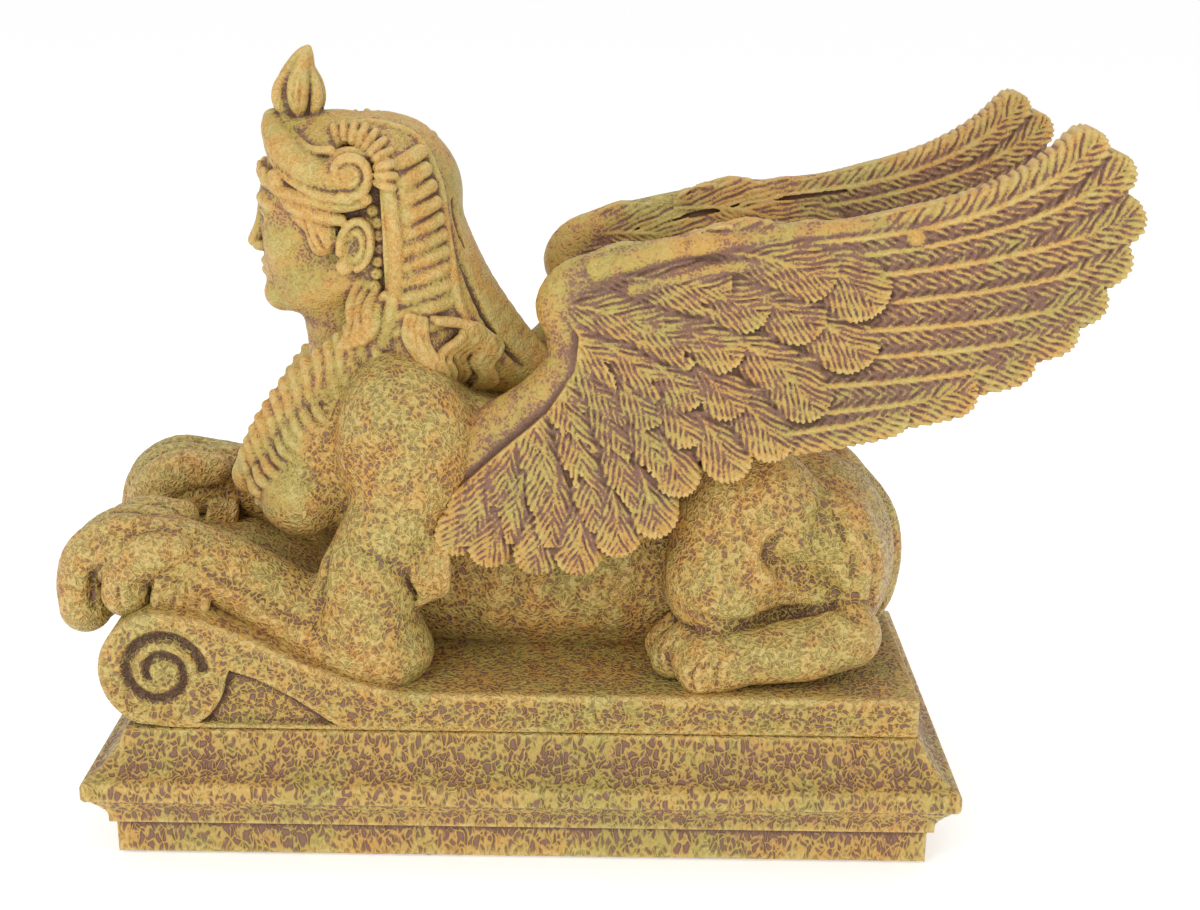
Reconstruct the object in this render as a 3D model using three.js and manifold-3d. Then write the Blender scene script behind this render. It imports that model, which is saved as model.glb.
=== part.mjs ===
// A winged sphinx statue, cast in stone-like resin: a crouching lion with a woman's head and
// breast, an Egyptian headdress and raised wings. She lies on a slab whose front end rolls up
// into a scroll under her forepaws, and the slab sits on a moulded plinth with a felt pad below.
//
// Millimetres, +Z up. The statue faces -X, so +Y is the statue's right. The origin is the centre
// of the plinth's underside, where the pad meets the table.
//
// The figure is modelled as clay is: rounded lumps are pressed onto each other and blended, on
// one side only, and the other side is the mirror image. The clay is a grid of distances, which
// is skinned with one closed mesh, and the mesh is thinned out to a few thousand triangles.
import * as THREE from "three";
import { mergeVertices } from "three/addons/utils/BufferGeometryUtils.js";
import Module from "manifold-3d";

const wasm = await Module();
wasm.setup();

// ---------------------------------------------------------------- driving dimensions

const PAD = { thickness: 0.8, inset: 1 };
const PLINTH = { halfLength: 127, halfDepth: 70, height: 39, foot: 8 }; // foot: its inset
const SLAB = { halfLength: 115, halfDepth: 58.4, top: 51, panel: 2.4 };
const SUNK = 4; // how far the figure goes down into the slab
const ROLL = { x: -104.6, z: 56.6, radius: 18 };
const GROOVE = { width: 2.4, depth: 1.8, turns: 1.55, steps: 36, outer: 12.4, inner: 3.6, start: 8 };
const WING = { root: 33, splay: 14, hang: 7, thickness: 4.6 };
const FEATHER = { lift: 3.8, crown: 1.6, lap: 2.4, shown: 0.75, steps: 8 };
const CLAY_CELL = 1.2; // spacing of the clay's grid
const JUST_INSIDE = -0.05; // in cells
const STEEPEST = 0.8; // how fast a cord laid on the clay may drop, along Y for 1 mm seen sideways
const FAR = 40; // the distance kept where there is no clay near
const FIGURE_TRIANGLES = 8540;

const STONE = { color: 0xa88f4c, roughness: 0.62, metalness: 0 };
const FELT = { color: 0x1c1b1a, roughness: 0.95, metalness: 0 };

// ---------------------------------------------------------------- small maths

const clamp = (v, lo, hi) => Math.min(Math.max(v, lo), hi);
const mix = (a, b, t) => a + (b - a) * t;
const smoothstep = (a, b, v) => {
  const t = clamp((v - a) / (b - a), 0, 1);
  return t * t * (3 - 2 * t);
};

// The point at a radius and an angle in degrees round the origin.
const polar = (radius, degrees) => [
  radius * Math.cos((degrees * Math.PI) / 180),
  radius * Math.sin((degrees * Math.PI) / 180),
];

// The value at `at` of the broken line through [[at, value], ...].
function along(stops, at) {
  if (at <= stops[0][0]) return stops[0][1];
  for (let i = 1; i < stops.length; i++) {
    const [a, va] = stops[i - 1];
    const [b, vb] = stops[i];
    if (at <= b) return mix(va, vb, (at - a) / (b - a));
  }
  return stops[stops.length - 1][1];
}

// ---------------------------------------------------------------- lumps of clay
// A lump has a box, which holds all of it, and a distance, negative inside.

// An egg with three radii, turned by angles in degrees about X, Y and Z.
function egg([cx, cy, cz], [rx, ry, rz], turn = [0, 0, 0]) {
  const degrees = Math.PI / 180;
  const angles = new THREE.Euler(turn[0] * degrees, turn[1] * degrees, turn[2] * degrees);
  const m = new THREE.Matrix4().makeRotationFromEuler(angles).transpose().elements;
  const reach = Math.max(rx, ry, rz);
  return {
    box: [cx - reach, cy - reach, cz - reach, cx + reach, cy + reach, cz + reach],
    distance(x, y, z) {
      const dx = x - cx;
      const dy = y - cy;
      const dz = z - cz;
      const u = (m[0] * dx + m[4] * dy + m[8] * dz) / rx;
      const v = (m[1] * dx + m[5] * dy + m[9] * dz) / ry;
      const w = (m[2] * dx + m[6] * dy + m[10] * dz) / rz;
      const k0 = Math.hypot(u, v, w);
      const k1 = Math.hypot(u / rx, v / ry, w / rz);
      return k1 < 1e-9 ? -Math.min(rx, ry, rz) : (k0 * (k0 - 1)) / k1;
    },
  };
}

// A limb through stations [x, y, z, radius]. flat squeezes it along Y.
function limb(stations, flat = 1) {
  const box = [Infinity, Infinity, Infinity, -Infinity, -Infinity, -Infinity];
  for (const [x, y, z, r] of stations)
    [x, y, z].forEach((v, i) => {
      box[i] = Math.min(box[i], v - r);
      box[i + 3] = Math.max(box[i + 3], v + r);
    });
  return {
    box,
    distance(x, y, z) {
      let best = Infinity;
      for (let i = 1; i < stations.length; i++) {
        const [ax, ay, az, ar] = stations[i - 1];
        const [bx, by, bz, br] = stations[i];
        const vx = bx - ax;
        const vy = (by - ay) / flat;
        const vz = bz - az;
        const px = x - ax;
        const py = (y - ay) / flat;
        const pz = z - az;
        const t = clamp((px * vx + py * vy + pz * vz) / (vx * vx + vy * vy + vz * vz), 0, 1);
        const d = Math.hypot(px - vx * t, py - vy * t, pz - vz * t) - mix(ar, br, t);
        best = Math.min(best, d);
      }
      return best * Math.min(1, flat);
    },
  };
}

// The side of a plane that the normal points away from.
function behind([px, py, pz], [nx, ny, nz]) {
  const n = Math.hypot(nx, ny, nz);
  return {
    box: [-1e3, -1e3, -1e3, 1e3, 1e3, 1e3],
    distance: (x, y, z) => ((x - px) * nx + (y - py) * ny + (z - pz) * nz) / n,
  };
}

// The part of a lump where keep(x, y, z) is negative.
const trimmed = (lump, keep) => ({
  box: lump.box,
  distance: (x, y, z) => Math.max(lump.distance(x, y, z), keep(x, y, z)),
});

// The same run of stations, rounded into a smooth curve that passes through all of them.
function curved(stations, steps = 3) {
  const last = stations.length - 1;
  const made = [];
  for (let i = 0; i < last; i++) {
    const b = stations[i];
    const c = stations[i + 1];
    const a = i > 0 ? stations[i - 1] : b.map((v, n) => 2 * v - c[n]);
    const d = i + 1 < last ? stations[i + 2] : c.map((v, n) => 2 * v - b[n]);
    for (let s = 0; s < steps; s++) {
      const t = s / steps;
      const at = (n) => {
        const bend = (2 * a[n] - 5 * b[n] + 4 * c[n] - d[n]) * t * t;
        const swing = (3 * b[n] - a[n] - 3 * c[n] + d[n]) * t ** 3;
        return (2 * b[n] + (c[n] - a[n]) * t + bend + swing) / 2;
      };
      made.push(b.map((_, n) => at(n)));
    }
  }
  return [...made, stations[last]];
}

// Stations round a spiral that faces sideways, as [x, y, z, radius].
function spiral([x, y, z], [from, to], [start, end], [thick, thin]) {
  const steps = Math.ceil(Math.abs(end - start) * 10);
  const made = [];
  for (let s = 0; s <= steps; s++) {
    const run = s / steps;
    const angle = 2 * Math.PI * mix(start, end, run);
    const radius = mix(from, to, run);
    const across = x + radius * Math.cos(angle);
    made.push([across, y, z + radius * Math.sin(angle), mix(thick, thin, run)]);
  }
  return made;
}

// The grid of distances. Only y >= 0 is kept, and the mirror image is added when it is skinned.
class Clay {
  constructor([x0, z0], [x1, y1, z1], cell) {
    this.cell = cell;
    this.origin = [x0, 0, z0];
    this.size = [x1 - x0, y1, z1 - z0].map((length) => Math.ceil(length / cell) + 1);
    this.values = new Float32Array(this.size[0] * this.size[1] * this.size[2]).fill(FAR);
  }

  // Changes each value near the lump with change(old value, lump's distance).
  press(lump, reach, change) {
    const [nx, ny] = this.size;
    const lo = [0, 1, 2].map((i) =>
      Math.max(0, Math.floor((lump.box[i] - reach - this.origin[i]) / this.cell)),
    );
    const hi = [0, 1, 2].map((i) =>
      Math.min(
        this.size[i] - 1,
        Math.ceil((lump.box[i + 3] + reach - this.origin[i]) / this.cell),
      ),
    );
    for (let k = lo[2]; k <= hi[2]; k++)
      for (let j = lo[1]; j <= hi[1]; j++)
        for (let i = lo[0]; i <= hi[0]; i++) {
          const at = i + nx * (j + ny * k);
          const x = this.origin[0] + i * this.cell;
          const y = j * this.cell;
          const z = this.origin[2] + k * this.cell;
          this.values[at] = change(this.values[at], lump.distance(x, y, z));
        }
  }

  // Adds a lump, with a fillet about as wide as blend.
  add(lump, blend = 3) {
    this.press(lump, blend + 2 * this.cell, (a, b) => {
      const h = Math.max(blend - Math.abs(a - b), 0);
      return Math.min(a, b) - (h * h) / (4 * blend);
    });
  }

  // Takes a lump away.
  carve(lump, blend = 1) {
    this.press(lump, blend + 2 * this.cell, (a, b) => {
      const h = Math.max(blend - Math.abs(a + b), 0);
      return Math.max(a, -b) + (h * h) / (4 * blend);
    });
  }

  // Puts all of another clay with the same grid into this one.
  join(other) {
    this.values = this.values.map((value, at) => Math.min(value, other.values[at]));
  }

  // How far out the surface is at (x, z), seen from the side.
  side(x, z) {
    const [nx, ny] = this.size;
    const i = Math.round((x - this.origin[0]) / this.cell);
    const k = Math.round((z - this.origin[2]) / this.cell);
    let j = ny - 1;
    while (j > 0 && this.values[i + nx * (j + ny * k)] >= 0) j--;
    return j * this.cell;
  }

  // Stations [x, z, radius] laid on the surface, as a cord is laid on a cushion.
  // Where the surface drops away, the cord comes down at a slope.
  lay(stations, lift = 0) {
    const cord = curved(stations).map(([x, z, r]) => [x, this.side(x, z), z, r]);
    const hang = (a, b) => {
      a[1] = Math.max(a[1], b[1] - STEEPEST * Math.hypot(a[0] - b[0], a[2] - b[2]));
    };
    for (let i = 1; i < cord.length; i++) hang(cord[i], cord[i - 1]);
    for (let i = cord.length - 1; i > 0; i--) hang(cord[i - 1], cord[i]);
    return cord.map(([x, y, z, r]) => [x, y + lift, z, r]);
  }

  // Fills the nearer gap wherever two lumps meet only along an edge or at a corner of the grid,
  // because a skin that touches itself there isn't a closed surface.
  settle() {
    const [nx, ny, nz] = this.size;
    const v = this.values;
    const strides = [1, nx, nx * ny];
    const fill = (...places) => {
      const nearest = places.reduce((a, b) => (v[a] < v[b] ? a : b));
      v[nearest] = JUST_INSIDE * this.cell;
    };
    let filled = 0;
    for (let k = 0; k < nz - 1; k++)
      for (let j = 0; j < ny - 1; j++)
        for (let i = 0; i < nx - 1; i++) {
          const a = i + nx * (j + ny * k);
          for (let axis = 0; axis < 3; axis++) {
            const b = a + strides[axis];
            const d = a + strides[(axis + 1) % 3];
            const c = b + d - a;
            const inside = [a, b, c, d].map((place) => v[place] < 0);
            if (inside[0] !== inside[2] || inside[1] !== inside[3] || inside[0] === inside[1])
              continue;
            if (inside[0]) fill(b, d);
            else fill(a, c);
            filled++;
          }
          const cube = [0, 1, 2, 3, 4, 5, 6, 7].map(
            (c) => a + (c & 1) + nx * ((c >> 1) & 1) + nx * ny * (c >> 2),
          );
          const count = cube.filter((place) => v[place] < 0).length;
          if (count !== 2 && count !== 6) continue;
          for (let c = 0; c < 4; c++) {
            const pair = [cube[c], cube[7 - c]];
            if (count === 6 && pair.every((place) => v[place] >= 0)) fill(...pair);
            else if (count === 2 && pair.every((place) => v[place] < 0)) fill(cube[c ^ 1]);
            else continue;
            filled++;
          }
        }
    if (filled) this.settle();
  }

  // One closed mesh over both halves, by surface nets: a vertex in each cell that the surface
  // crosses, and a quad across each grid edge that it crosses.
  skin() {
    const [nx, half, nz] = this.size;
    const ny = 2 * half - 1;
    const value = (i, j, k) => this.values[i + nx * (Math.abs(j - half + 1) + half * k)];
    const vertexOf = new Int32Array(nx * ny * nz).fill(-1);
    const positions = [];
    const triangles = [];
    const corners = [0, 1, 2, 3, 4, 5, 6, 7].map((c) => [c & 1, (c >> 1) & 1, c >> 2]);
    for (let k = 0; k < nz - 1; k++)
      for (let j = 0; j < ny - 1; j++)
        for (let i = 0; i < nx - 1; i++) {
          const v = corners.map(([a, b, c]) => value(i + a, j + b, k + c));
          const inside = v.filter((d) => d < 0).length;
          if (inside === 0 || inside === 8) continue;
          const sum = [0, 0, 0];
          let crossings = 0;
          for (let p = 0; p < 8; p++)
            for (const step of [1, 2, 4]) {
              const q = p | step;
              if (q === p || v[p] < 0 === v[q] < 0) continue;
              const t = v[p] / (v[p] - v[q]);
              corners[p].forEach((c, axis) => {
                sum[axis] += mix(c, corners[q][axis], t);
              });
              crossings++;
            }
          vertexOf[i + nx * (j + ny * k)] = positions.length / 3;
          positions.push(
            this.origin[0] + (i + sum[0] / crossings) * this.cell,
            (j - half + 1 + sum[1] / crossings) * this.cell,
            this.origin[2] + (k + sum[2] / crossings) * this.cell,
          );
        }
    const strides = [1, nx, nx * ny];
    for (let k = 1; k < nz - 1; k++)
      for (let j = 1; j < ny - 1; j++)
        for (let i = 1; i < nx - 1; i++)
          for (let axis = 0; axis < 3; axis++) {
            const here = value(i, j, k) < 0;
            const next = value(i + (axis === 0), j + (axis === 1), k + (axis === 2)) < 0;
            if (here === next) continue;
            const at = i + nx * (j + ny * k);
            const u = strides[(axis + 1) % 3];
            const w = strides[(axis + 2) % 3];
            const ring = [at - u - w, at - w, at, at - u].map((cell) => vertexOf[cell]);
            if (!here) ring.reverse();
            triangles.push(ring[0], ring[1], ring[2], ring[0], ring[2], ring[3]);
          }
    return { positions: Float64Array.from(positions), triangles };
  }
}

// ---------------------------------------------------------------- thinning a mesh

const SLIVER = 0.01; // a triangle of less than half this area has no direction to speak of
const FOLD = 0.3; // the cosine between a triangle's old and new direction that counts as a fold
const LENGTH_COST = 1e-4; // what losing an edge costs by its length alone, so flat places thin too

// Takes vertices out of a closed mesh until few enough triangles are left. Each step joins the
// two ends of the edge whose loss moves the surface least, by the squared distances from the
// planes that met there, and skips an edge whose loss would fold the surface or pinch it shut.
// care(x, y, z) says how many times dearer a loss is there. No edge over longest is lost, and if
// that is a real length the joined vertex stays at one of the ends.
function thinOut({ positions, triangles }, target, care = () => 1, longest = Infinity) {
  const count = positions.length / 3;
  const quadrics = new Float64Array(count * 10);
  const around = Array.from({ length: count }, () => new Set());
  const tri = Int32Array.from(triangles);
  const point = (v) => [positions[3 * v], positions[3 * v + 1], positions[3 * v + 2]];
  const normal = (a, b, c) => {
    const u = [b[0] - a[0], b[1] - a[1], b[2] - a[2]];
    const w = [c[0] - a[0], c[1] - a[1], c[2] - a[2]];
    return [u[1] * w[2] - u[2] * w[1], u[2] * w[0] - u[0] * w[2], u[0] * w[1] - u[1] * w[0]];
  };
  for (let t = 0; t < tri.length; t += 3) {
    const corners = [tri[t], tri[t + 1], tri[t + 2]];
    const p = point(corners[0]);
    const n = normal(p, point(corners[1]), point(corners[2]));
    const size = Math.hypot(...n) || 1e-12;
    const [a, b, c] = n.map((value) => value / size);
    const d = -(a * p[0] + b * p[1] + c * p[2]);
    const plane = [a * a, a * b, a * c, a * d, b * b, b * c, b * d, c * c, c * d, d * d];
    for (const v of corners) {
      around[v].add(t);
      for (let q = 0; q < 10; q++) quadrics[v * 10 + q] += plane[q] * size;
    }
  }
  const errorAt = (q, [x, y, z]) =>
    q[0] * x * x + 2 * q[1] * x * y + 2 * q[2] * x * z + 2 * q[3] * x +
    q[4] * y * y + 2 * q[5] * y * z + 2 * q[6] * y + q[7] * z * z + 2 * q[8] * z + q[9];
  // The cheapest place for the joined vertex, and its cost.
  function joined(v, w) {
    const q = new Float64Array(10);
    for (let i = 0; i < 10; i++) q[i] = quadrics[v * 10 + i] + quadrics[w * 10 + i];
    const p = point(v);
    const r = point(w);
    const length = Math.hypot(p[0] - r[0], p[1] - r[1], p[2] - r[2]);
    const places = [p, r];
    if (longest === Infinity) places.push(p.map((value, i) => (value + r[i]) / 2));
    const [a, b, c, d, e, f, g, h, i] = [q[0], q[1], q[2], q[3], q[4], q[5], q[6], q[7], q[8]];
    const det = a * (e * h - f * f) - b * (b * h - f * c) + c * (b * f - e * c);
    if (longest === Infinity && Math.abs(det) > 1e-6 * (a + e + h) ** 3) {
      const x = -(d * (e * h - f * f) - b * (g * h - f * i) + c * (g * f - e * i)) / det;
      const y = -(a * (g * h - i * f) - d * (b * h - f * c) + c * (b * i - g * c)) / det;
      const z = -(a * (e * i - g * f) - b * (b * i - g * c) + d * (b * f - e * c)) / det;
      const far = Math.hypot(x - p[0], y - p[1], z - p[2]);
      if (far < 2 * length) places.push([x, y, z]);
    }
    const costs = places.map((place) => errorAt(q, place));
    const best = costs.indexOf(Math.min(...costs));
    const cost = Math.max(costs[best], 0) + LENGTH_COST * length * length;
    return { place: places[best], cost: cost * care(...p), length };
  }
  // A heap of edges, cheapest first. An edge is stale once either end has moved.
  const heap = [];
  const stamp = new Int32Array(count);
  const swap = (i, j) => ([heap[i], heap[j]] = [heap[j], heap[i]]);
  function push(v, w) {
    const entry = { v, w, made: stamp[v] + stamp[w], ...joined(v, w) };
    if (entry.length > longest) return;
    let i = heap.push(entry) - 1;
    while (i > 0 && heap[(i - 1) >> 1].cost > heap[i].cost) {
      swap(i, (i - 1) >> 1);
      i = (i - 1) >> 1;
    }
  }
  function pop() {
    swap(0, heap.length - 1);
    const entry = heap.pop();
    for (let i = 0, c = 1; c < heap.length; c = 2 * i + 1) {
      if (c + 1 < heap.length && heap[c + 1].cost < heap[c].cost) c++;
      if (heap[i].cost <= heap[c].cost) break;
      swap(i, c);
      i = c;
    }
    return entry;
  }
  const neighbours = (v) => {
    const found = new Set();
    for (const t of around[v]) for (let c = 0; c < 3; c++) found.add(tri[t + c]);
    found.delete(v);
    return found;
  };
  for (let v = 0; v < count; v++) for (const w of neighbours(v)) if (v < w) push(v, w);
  let left = tri.length / 3;
  while (left > target && heap.length) {
    const { v, w, made, place } = pop();
    if (made !== stamp[v] + stamp[w] || !around[v].size || !around[w].size) continue;
    const shared = [...around[v]].filter((t) => around[w].has(t));
    if (shared.length !== 2) continue;
    const nv = neighbours(v);
    const nw = neighbours(w);
    if ([...nv].filter((n) => nw.has(n)).length !== 2) continue;
    const folds = [v, w].some((end) =>
      [...around[end]].some((t) => {
        if (shared.includes(t)) return false;
        const was = [0, 1, 2].map((c) => point(tri[t + c]));
        const now = was.map((p, c) => (tri[t + c] === end ? place : p));
        const m = normal(...was);
        const n = normal(...now);
        const sizes = Math.hypot(...m) * Math.hypot(...n);
        const turned = m[0] * n[0] + m[1] * n[1] + m[2] * n[2] < FOLD * sizes;
        return turned && Math.hypot(...m) > SLIVER && Math.hypot(...n) > SLIVER;
      }),
    );
    if (folds) continue;
    positions.set(place, 3 * v);
    for (let q = 0; q < 10; q++) quadrics[v * 10 + q] += quadrics[w * 10 + q];
    for (const t of shared) {
      for (let c = 0; c < 3; c++) around[tri[t + c]].delete(t);
      tri[t] = -1;
      left--;
    }
    for (const t of around[w]) {
      for (let c = 0; c < 3; c++) if (tri[t + c] === w) tri[t + c] = v;
      around[v].add(t);
    }
    around[w].clear();
    stamp[v] += 1e5;
    stamp[w] += 1e5;
    for (const n of neighbours(v)) push(v, n);
  }
  const renumber = new Int32Array(count).fill(-1);
  const kept = [];
  const faces = [];
  for (let t = 0; t < tri.length; t += 3) {
    if (tri[t] < 0) continue;
    for (let c = 0; c < 3; c++) {
      const v = tri[t + c];
      if (renumber[v] < 0) {
        renumber[v] = kept.length / 3;
        kept.push(...point(v));
      }
      faces.push(renumber[v]);
    }
  }
  return { positions: kept, triangles: faces };
}

// ---------------------------------------------------------------- feathers
// A wing is a leaf of clay that follows a curved middle surface, thicker where feathers lie.
// Each feather is drawn on the wing as seen from the side, along a bent spine.

// Where the wing's middle surface lies: it splays out toward the tip and over the flank.
const wingMiddle = (x, z) =>
  WING.root + WING.splay * smoothstep(-20, 190, x) + WING.hang * smoothstep(150, 92, z);

// A feather from root to tip, bowed through mid, with a rounded end.
function feather(root, mid, tip, halfWidth) {
  const spine = [];
  for (let s = 0; s <= FEATHER.steps; s++) {
    const t = s / FEATHER.steps;
    spine.push([0, 1].map((i) => mix(mix(root[i], mid[i], t), mix(mid[i], tip[i], t), t)));
  }
  return { spine, halfWidth };
}

// How far (x, z) is outside a feather, and how high the feather is there.
function featherAt({ spine, halfWidth }, x, z) {
  let best = { outside: Infinity, height: 0 };
  for (let s = 0; s < FEATHER.steps; s++) {
    const [ax, az] = spine[s];
    const vx = spine[s + 1][0] - ax;
    const vz = spine[s + 1][1] - az;
    const length = Math.hypot(vx, vz);
    const t = clamp(((x - ax) * vx + (z - az) * vz) / (length * length), 0, 1);
    const far = Math.hypot(x - ax - vx * t, z - az - vz * t);
    const side = ((x - ax) * vz - (z - az) * vx) / length;
    const run = (s + t) / FEATHER.steps;
    const width = halfWidth * Math.min(1, 0.6 + run);
    const outside = far - width;
    if (outside < best.outside) {
      const across = clamp(side / width, -1, 1);
      const crown = FEATHER.crown * (1 - across * across);
      best = { outside, height: FEATHER.lift * run + crown + (FEATHER.lap * across) / 2 };
    }
  }
  return best;
}

// The coverts are rows of short feathers, fanned round the wrist of the wing.
const FAN = { x: -7, z: 163.5, from: -101, to: 13 };
const FAN_REACH = [[-101, 73], [-68, 79], [-40, 75], [-25, 86], [1, 105], [13, 108]];
const COVERT_ROWS = [[0.34, 5], [0.5, 7], [0.66, 9], [0.82, 11], [1, 12]]; // [reach, number]
const COVERT = { length: 30, halfWidth: 0.6, end: 0.945, curl: 5, bow: 3, flick: -2 };

function coverts() {
  const made = [];
  COVERT_ROWS.forEach(([share, number], row) => {
    const step = (FAN.to - FAN.from) / number;
    for (let n = 0; n < number; n++) {
      // Each row is shifted by half a feather, like tiles.
      const angle = FAN.from + step * (n + 0.25 + 0.5 * (row % 2));
      const reach = along(FAN_REACH, angle) * share;
      const at = (fraction, turn) => {
        const [x, z] = polar(reach * fraction, angle + turn);
        return [FAN.x + x, FAN.z + z];
      };
      const start = Math.max(0, 1 - COVERT.length / reach);
      const bend = [at(start, COVERT.curl), at((1 + start) / 2, COVERT.bow), at(COVERT.end, COVERT.flick)];
      made.push(feather(...bend, (COVERT.halfWidth * reach * step * Math.PI) / 180));
    }
  });
  return made;
}

// The long flight feathers, top to bottom: root, middle and tip as [x, z], and half the width.
const FLIGHT = [
  [[70, 181], [130, 185], [150, 209], 5.8],
  [[72, 176], [133, 182], [157, 202], 6.8],
  [[70, 170], [132, 176], [159.5, 190], 7.8],
  [[68, 163], [130, 167], [157, 179], 8],
  [[64, 156], [125, 158], [151.5, 168], 8],
  [[60, 148], [118, 150], [144.5, 159], 8],
  [[54, 139], [108, 142], [133.5, 150], 8],
  [[46, 130], [96, 134], [118.5, 141], 8],
  [[38, 122], [82, 128], [101, 134], 7],
];

// The wing's front edge, as [z, x]: nothing lies ahead of it but the rounded leading edge.
const WING_FRONT = [
  [84, -32],
  [106, -22],
  [119, -8],
  [131, 6],
  [143, 14],
  [153, 15],
  [162, 10],
  [176, 20],
];
const WING_BOX = [-32, 20, 84, 176, 60, 224];

function wing() {
  const flight = FLIGHT.map(([root, mid, tip, halfWidth]) => feather(root, mid, tip, halfWidth));
  const feathers = [...flight, ...coverts()];
  const column = new Map();
  return {
    box: WING_BOX,
    distance(x, y, z) {
      const key = x * 1e4 + z;
      if (!column.has(key)) {
        let outside = Infinity;
        let height = 0;
        let nearest = 0;
        for (const f of feathers) {
          const at = featherAt(f, x, z);
          if (at.outside < 0) height = Math.max(height, at.height);
          if (at.outside < outside) {
            outside = at.outside;
            nearest = at.height;
          }
        }
        outside = Math.max(outside, along(WING_FRONT, z) - x);
        column.set(key, [outside, outside < 0 ? height : nearest]);
      }
      const [outside, height] = column.get(key);
      const off = Math.abs(y - wingMiddle(x, z)) - WING.thickness / 2 - FEATHER.shown * height;
      return outside > 0 && off > 0 ? Math.hypot(outside, off) : Math.max(outside, off);
    },
  };
}

// ---------------------------------------------------------------- the figure

function modelBody(clay) {
  // Rib cage, back and belly.
  clay.add(egg([-42, 0, 104], [30, 34, 34]));
  clay.add(limb([[-30, 0, 103, 30], [5, 0, 93, 29], [40, 0, 83, 28], [80, 0, 80, 30]]), 10);
  clay.add(limb([[-40, 0, 72, 26], [5, 0, 71, 29], [60, 0, 70, 26]]), 10);
  clay.add(limb([[-26, 22, 120, 12], [10, 26, 112, 10], [36, 24, 104, 8]]), 9);
  // Haunch: rump, thigh and knee, then the shin and the heel along the slab.
  clay.add(egg([84, 14, 79], [27, 30, 31]), 8);
  clay.add(egg([66, 31, 92], [23, 17, 27], [0, 12, 0]), 3);
  clay.add(egg([57, 37, 78], [16, 15, 17], [0, -20, 0]), 6);
  clay.add(egg([94, 31, 84], [13, 14, 21], [0, -8, 0]), 3);
  clay.add(limb([[95, 43, 65, 10], [82, 47, 62, 9.5], [54, 48, 59, 8.5]]), 2);
  clay.add(egg([93, 44, 67], [9, 8, 9]), 2);
  clay.add(egg([55, 48, 58], [12, 9.5, 9.4]), 3);
  // The hollow between thigh and shank, and the fold ahead of the knee.
  const hollow = [[73, 98, 1.6], [70.5, 91, 3.6], [77, 86, 4.4], [87, 80, 3.6], [98, 73, 1.4]];
  clay.carve(limb(clay.lay(hollow, 1.6)), 5);
  clay.carve(limb(clay.lay([[51, 73, 1], [62, 70.5, 1.6], [76, 71.5, 1.8], [90, 74.5, 1.2]], 0.6)), 2);
  clay.carve(limb(clay.lay([[40, 98, 1], [38, 82, 2], [39, 68, 2], [46, 62, 1]], 0.8)), 4);
  for (const [x, lean] of [[-8, 3], [3, 2], [12, 1], [20, 2], [28, 3]])
    clay.add(limb(clay.lay([[x + lean, 90, 1], [x + 0.6, 76, 1.9], [x - 2, 62, 1.2]], -1.3)), 5);
  // The tail lies down the middle of the rump.
  const tail = [[97, 0, 106, 3], [109, 0, 91, 4], [113, 0, 77, 4], [111, 0, 63, 4.6]];
  clay.add(limb(curved([...tail, [106, 0, 56, 6]])), 2.5);
}

function modelHindPaw(clay) {
  for (const [x, y, z, r] of [[42, 35, 60, 6.4], [43.5, 43, 59.6, 6.6], [51.5, 50.8, 58.4, 6.8]]) {
    const toe = [[x + 14, y - 3, z + 3, r], [x + 5, y, z + 2, r + 0.6], [x, y, z - 2.4, r]];
    clay.add(limb(toe), 0.8);
  }
}

function modelForelegs(clay) {
  clay.add(limb([[-46, 0, 131, 17], [-37, 26, 128, 16]]), 8);
  clay.add(egg([-35, 34, 117], [20, 15, 25], [0, -6, 0]), 5);
  clay.add(limb([[-38, 38, 98, 13.5], [-46, 41, 80, 14.5], [-46, 42, 63, 14.5]]), 4);
  clay.add(egg([-35, 38, 107], [13.5, 12.5, 12]), 2);
  clay.add(egg([-42, 42, 58], [15, 13, 12]), 5);
  const forearm = [[-50, 41, 61, 13], [-68, 38, 68, 12], [-88, 37, 80, 11], [-104, 36.5, 86, 10.5]];
  clay.add(limb(forearm), 6);
  const ridge = [[-40, 46, 55, 8], [-61, 47, 61, 6], [-76, 45, 70, 5], [-92, 44, 80, 5]];
  clay.add(limb(curved([...ridge, [-106, 43, 86, 5]])), 3);
  clay.carve(limb(clay.lay([[-58, 66, 0.8], [-76, 76, 1.4], [-94, 86, 0.8]], 0.7)), 2.5);
  clay.carve(limb(clay.lay([[-61, 70, 1.6], [-59, 80, 1.6], [-57, 92, 1]], 0.8)), 3);
}

function modelFrontPaw(clay) {
  clay.add(egg([-114, 36, 85], [17, 15, 11.5], [0, 10, 0]), 4);
  // Three long toes hang over the roll, and the outer one lies on top of it.
  for (const [y, back] of [[23.6, 4], [31.4, 0.8], [39.4, 0]]) {
    const toe = [[-108, 92, 5.2], [-119, 91.4, 6.8], [-127.6, 85.6, 7.4], [-131, 77.4, 6.9]];
    toe.push([-130.4, 69.4, 7.8]);
    clay.add(limb(curved(toe.map(([x, z, r]) => [x + back, y, z, r]))), 0.7);
  }
  const outer = [[-101, 44, 89, 5.4], [-109, 46, 88, 6.6], [-114.6, 46.6, 83.4, 6.8]];
  clay.add(limb(curved([...outer, [-115.6, 46.8, 77, 7.2]])), 0.8);
  clay.carve(limb(clay.lay([[-121, 88, 0.8], [-125.6, 81, 1.2], [-126, 72, 1]], 0.6)), 1.5);
}

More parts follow.
